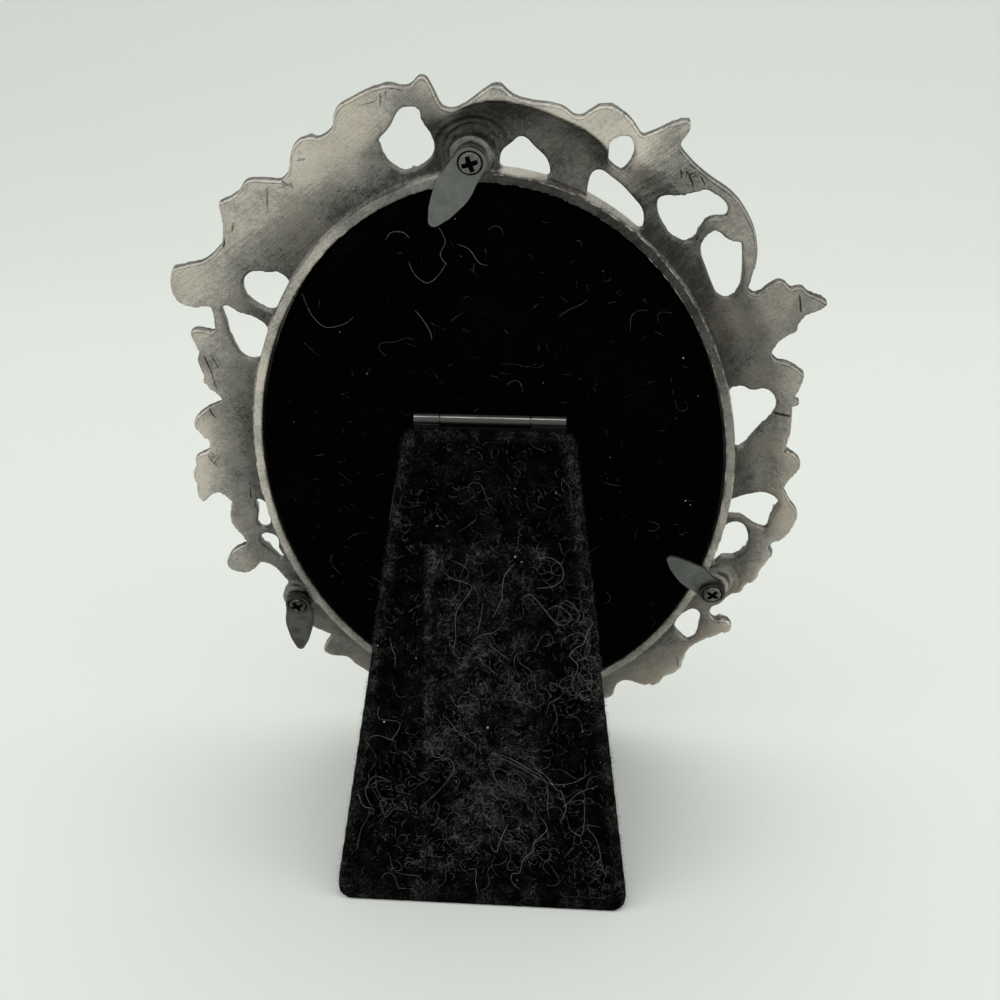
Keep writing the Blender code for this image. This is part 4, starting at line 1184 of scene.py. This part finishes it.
lintGrey = plainFinish("greyLint", lint["colour"], 0.8)
paleGrain = plainFinish("paleGrains", lint["grainColour"], 0.7)
makePile(pile)
chance = random.Random(21)
hairsOnBack = fibres(chance, spotOnBack, lint["longOnBack"], 3, 10, 0.6)
hairsOnBack += fibres(chance, spotOnBack, lint["shortOnBack"], 0.6, 2.2, 1.0)
hairsOnLeg = fibres(chance, spotOnLeg, lint["longOnLeg"] // 3, 3, 11, 0.8)
hairsOnLeg += fibres(chance, clumpOnLeg, lint["longOnLeg"] * 2 // 3, 3, 12, 1.2)
hairsOnLeg += fibres(chance, spotOnLeg, lint["shortOnLeg"] // 2, 0.6, 2.4, 1.2)
hairsOnLeg += fibres(chance, clumpOnLeg, lint["shortOnLeg"] // 2, 0.8, 2.8, 1.8)
backFace, legFace = velvet["backLevel"], legStand["rearFace"]
makeLint("lintBack", "frame", panelMatrix, backFace, hairsSeenOnBack, hairsOnBack, keptOnBack, lint, 5)
makeLint("lintLeg", "leg", legMatrix, legFace, hairsSeenOnLeg, hairsOnLeg, keptOnLeg, lint, 8)
grainsOnBack = grainsSeenOnBack + grains(chance, spotOnBack, lint["grainsOnBack"])
grainsOnLeg = grainsSeenOnLeg + grains(chance, spotOnLeg, lint["grainsOnLeg"])
makeSpecks("grainsBack", "frame", panelMatrix, backFace, grainsOnBack, lint, 3)
makeSpecks("grainsLeg", "leg", legMatrix, legFace, grainsOnLeg, lint, 4)
print("pile and lint laid")

# pan-head screws with a cross recess
screw = {
    "headRadius": 2.0 * mm,
    "headHeight": 1.2 * mm,
    "crossWidth": 0.8 * mm,
    "crossLength": 2.7 * mm,
    "crossDepth": 0.85 * mm,
    "seat": 1.0 * mm,
    "shankShare": 0.5,
    "shankLength": 4.1 * mm,
    "segments": 56,
    "sharpAngle": 38,
    "turns": {"top": 18, "right": 52, "left": 24},
    "soil": {"top": 0.2, "right": 0.35, "left": 0.95},
    "colour": (0.15, 0.146, 0.14),
    "brightEdge": (0.6, 0.59, 0.56),
    "soilColour": (0.03, 0.026, 0.02),
    "recessColour": (0.002, 0.002, 0.002),
}
buttonLook = {
    "round": 0.14 * mm,
    # one steel for all three blades, each made lighter or darker as painted light and shade
    "colours": {"top": (0.16, 0.167, 0.16), "right": (0.15, 0.158, 0.15), "left": (0.112, 0.112, 0.1)},
    "blotches": {"top": 0.15, "right": 0.2, "left": 0.5},
    "hubDirt": {"top": 0.15, "right": 0.85, "left": 0.6},
    "hubHeight": 1.5 * mm,
    "hubReach": (2.3 * mm, 4.2 * mm),
    "dirtColour": (0.022, 0.021, 0.018),
}
hingeLook = {
    "dark": (0.004, 0.004, 0.004),
    "paint": (0.046, 0.045, 0.042),
    "worn": (0.62, 0.6, 0.56),
    "streakScale": (160, 3000, 3000),
    "barrelRadius": 1.0 * mm,
    "wornAt": 50,
    "rough": 0.3,
    "depth": 0.05 * mm,
}
pane = {
    "colour": (0.93, 0.97, 0.95),
    "bending": 1.5,
    "smears": (60, 3.0, 0.6),
    "rough": (0.01, 0.05),
}


def ramp(value, width):
    return min(1, max(0, value / width))


def makeScrew(name, sizes):
    across, up = spotOnPanel(*casting["buttonSpots"][name])
    form = bmesh.new()
    bmesh.ops.create_grid(form, x_segments=sizes["segments"], y_segments=sizes["segments"], size=1)
    radius = sizes["headRadius"]
    half, reach = sizes["crossWidth"] / 2 / radius, sizes["crossLength"] / 2 / radius
    depths = {}
    for vert in form.verts:
        x, y = onDisc(vert)
        far = min(1, math.hypot(x, y))
        crown = 1 - 0.3 * far ** 2.6 - (0.55 * max(0, (far - 0.82) / 0.18) ** 2)
        taper = half * (1.15 - 0.25 * far)
        arms = [ramp(taper - abs(a), 0.035) * ramp(reach - abs(b), 0.05) for a, b in ((x, y), (y, x))]
        sunk = max(arms) * sizes["crossDepth"] * (1 - 0.45 * far / reach)
        depths[vert.index] = max(arms)
        vert.co = (x * radius, y * radius, crown * sizes["headHeight"] - sunk)
    for vert in extruded(form, boundary(form)):
        vert.co.z = 0
    for vert in extruded(form, boundary(form)):
        vert.co.x *= sizes["shankShare"]
        vert.co.y *= sizes["shankShare"]
    for vert in extruded(form, boundary(form)):
        vert.co.z -= sizes["shankLength"]
    bmesh.ops.holes_fill(form, edges=boundary(form))
    bmesh.ops.recalc_face_normals(form, faces=form.faces)
    mesh = meshFrom(form, "screw_" + name)
    stand = Matrix.Translation((across, sizes["seat"], up)) @ Matrix.Rotation(-math.pi / 2, 4, "X")
    mesh.transform(panelMatrix @ stand @ Matrix.Rotation(math.radians(sizes["turns"][name]), 4, "Z"))
    count = len(mesh.vertices)
    # the depth of the cross recess, which darkens it as painted shade
    grime = [depths.get(index, 0.0) for index in range(count)]
    storeAttributes(mesh, grime=grime, soil=[sizes["soil"][name]] * count)
    mesh.set_sharp_from_angle(angle=math.radians(sizes["sharpAngle"]))
    piece = linked("screw_" + name, mesh)
    dress(piece, screwZinc)
    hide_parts("turn_button_screw_" + name)
    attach(piece, "frame")


def flatten(form):
    weld(form)
    bmesh.ops.dissolve_limit(form, angle_limit=math.radians(1), verts=form.verts, edges=form.edges)


def roundedCopy(nodeName, pieceName, body, roundness, finish, sharp=math.radians(40)):
    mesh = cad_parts[nodeName].data.copy()
    reworked(mesh, flatten)
    piece = linked(pieceName, mesh)
    bevel = piece.modifiers.new("edges", "BEVEL")
    bevel.width = roundness
    bevel.segments = 2
    bevel.limit_method = "ANGLE"
    bevel.angle_limit = sharp
    bevel.harden_normals = False
    mesh.shade_smooth()
    mesh.set_sharp_from_angle(angle=sharp)
    dress(piece, finish)
    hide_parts(nodeName)
    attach(piece, body)
    return piece


def screwFinish(look):
    finish = plainFinish("zincScrew", look["colour"], 0.3, 1.0, 0.18, 2400)
    grime = finish["grime"]
    edge = grime.ranged(0.02, 0.15, 0, 0.8) * grime.ranged(0.15, 0.4, 1, 0)
    colour = finish.mixed(edge, finish.colour, look["brightEdge"])
    soil = finish["soil"] * finish.noise(900, 3.0, 0.6).ranged(0.38, 0.56, 0.25, 1)
    colour = finish.mixed(soil, colour, look["soilColour"])
    # painted shade: the cross recess is darker the deeper it is
    colour = finish.mixed(grime.ranged(0.25, 0.7), colour, look["recessColour"])
    finish.shade({"Base Color": colour})
    return finish


def bladeFinish(name, look):
    finish = plainFinish("dullSteelBlade_" + name, look["colours"][name], 0.46, 1.0, 0.12, 700, 0.03 * mm)
    across, up = spotOnPanel(*casting["buttonSpots"][name])
    hub = panelMatrix @ Vector((across, look["hubHeight"], up))
    gap = finish.add("ShaderNodeVectorMath", "Value", {0: finish.spot, 1: hub}, operation="DISTANCE")
    # painted shade on the blade round the screw head; the blotches are the blade's own mottling
    near = gap.ranged(*look["hubReach"], look["hubDirt"][name], 0.0)
    blotch = finish.noise(330, 3.0, 0.6).ranged(0.42, 0.62, 0.0, look["blotches"][name])
    dirt = finish.math("MAXIMUM", near, blotch)
    finish.shade({"Base Color": finish.mixed(dirt, finish.colour, look["dirtColour"])})
    return finish


def hingeFinish(look):
    finish = Finish("blackHingePaint")
    out = finish.part("Y") - legStand["depth"]
    up = finish.part("Z") - legStand["height"]
    angle = finish.math("ARCTAN2", up, out) * (180 / math.pi)
    far = finish.math("SQRT", out * out + up * up)
    barrel = far.ranged(look["barrelRadius"] * 1.02, look["barrelRadius"] * 1.1, 1.0, 0.0)
    # painted shade: the barrel's underside is darkened and its top takes the paint colour; the leaves stay
    # dark
    paint = finish.mixed(barrel * angle.ranged(-25, 15, 0.15, 1), look["dark"], look["paint"])
    # painted highlight: a bright line along the top of the barrel, broken by streaks
    wear = finish.streaks(0, look["streakScale"], 0.6).ranged(0.36, 0.58, 0.25, 1)
    line = abs(angle - look["wornAt"]).ranged(3, 9, 1, 0) * wear * barrel
    finish.shade({
        "Base Color": finish.mixed(line, paint, look["worn"]),
        "Roughness": look["rough"],
        "Specular IOR Level": barrel.ranged(0, 1, 0.05, 0.5),
    })
    finish.bump(finish.noise(900, 4.0, 0.6), look["depth"], 0.4)
    return finish


def glassFinish(look):
    finish = Finish("clearPane")
    finish.shade({
        "Base Color": look["colour"],
        "Transmission Weight": 1.0,
        "IOR": look["bending"],
        "Roughness": finish.noise(*look["smears"]).ranged(0.4, 0.7, *look["rough"]),
    })
    return finish


screwZinc = screwFinish(screw)
legLining = roundedCopy("leg_lining", "velvetLegLining", "leg", 0.12 * mm, velvetBlack)
for name in ("top", "right", "left"):
    makeScrew(name, screw)
    blade, nodeName = bladeFinish(name, buttonLook), "turn_button_" + name
    roundedCopy(nodeName, "turnButton_" + name, "button_" + name, buttonLook["round"], blade)
print("buttons and screws made")

rivets = ["hinge_rivet_" + place for place in ("board_left", "board_right", "leg_left", "leg_right")]
cardFinish = plainFinish("creamCard", (0.74, 0.71, 0.62), 0.85, 0.0, 0.05, 1300, 0.02 * mm)
boardFinish = plainFinish("greyBoard", (0.3, 0.23, 0.15), 0.9, 0.0, 0.25, 1400, 0.05 * mm)
for finish, nodeNames in (
    (hingeFinish(hingeLook), ["hinge_board_leaf", "hinge_leg_leaf"]),
    (screwZinc, ["hinge_pin", *rivets]),
    (glassFinish(pane), ["glass_pane"]),
    (cardFinish, ["picture_card"]),
    (boardFinish, ["back_board", "leg_board"]),
):
    for nodeName in nodeNames:
        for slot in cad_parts[nodeName].material_slots:
            slot.material = finish.material
print("layers finished")
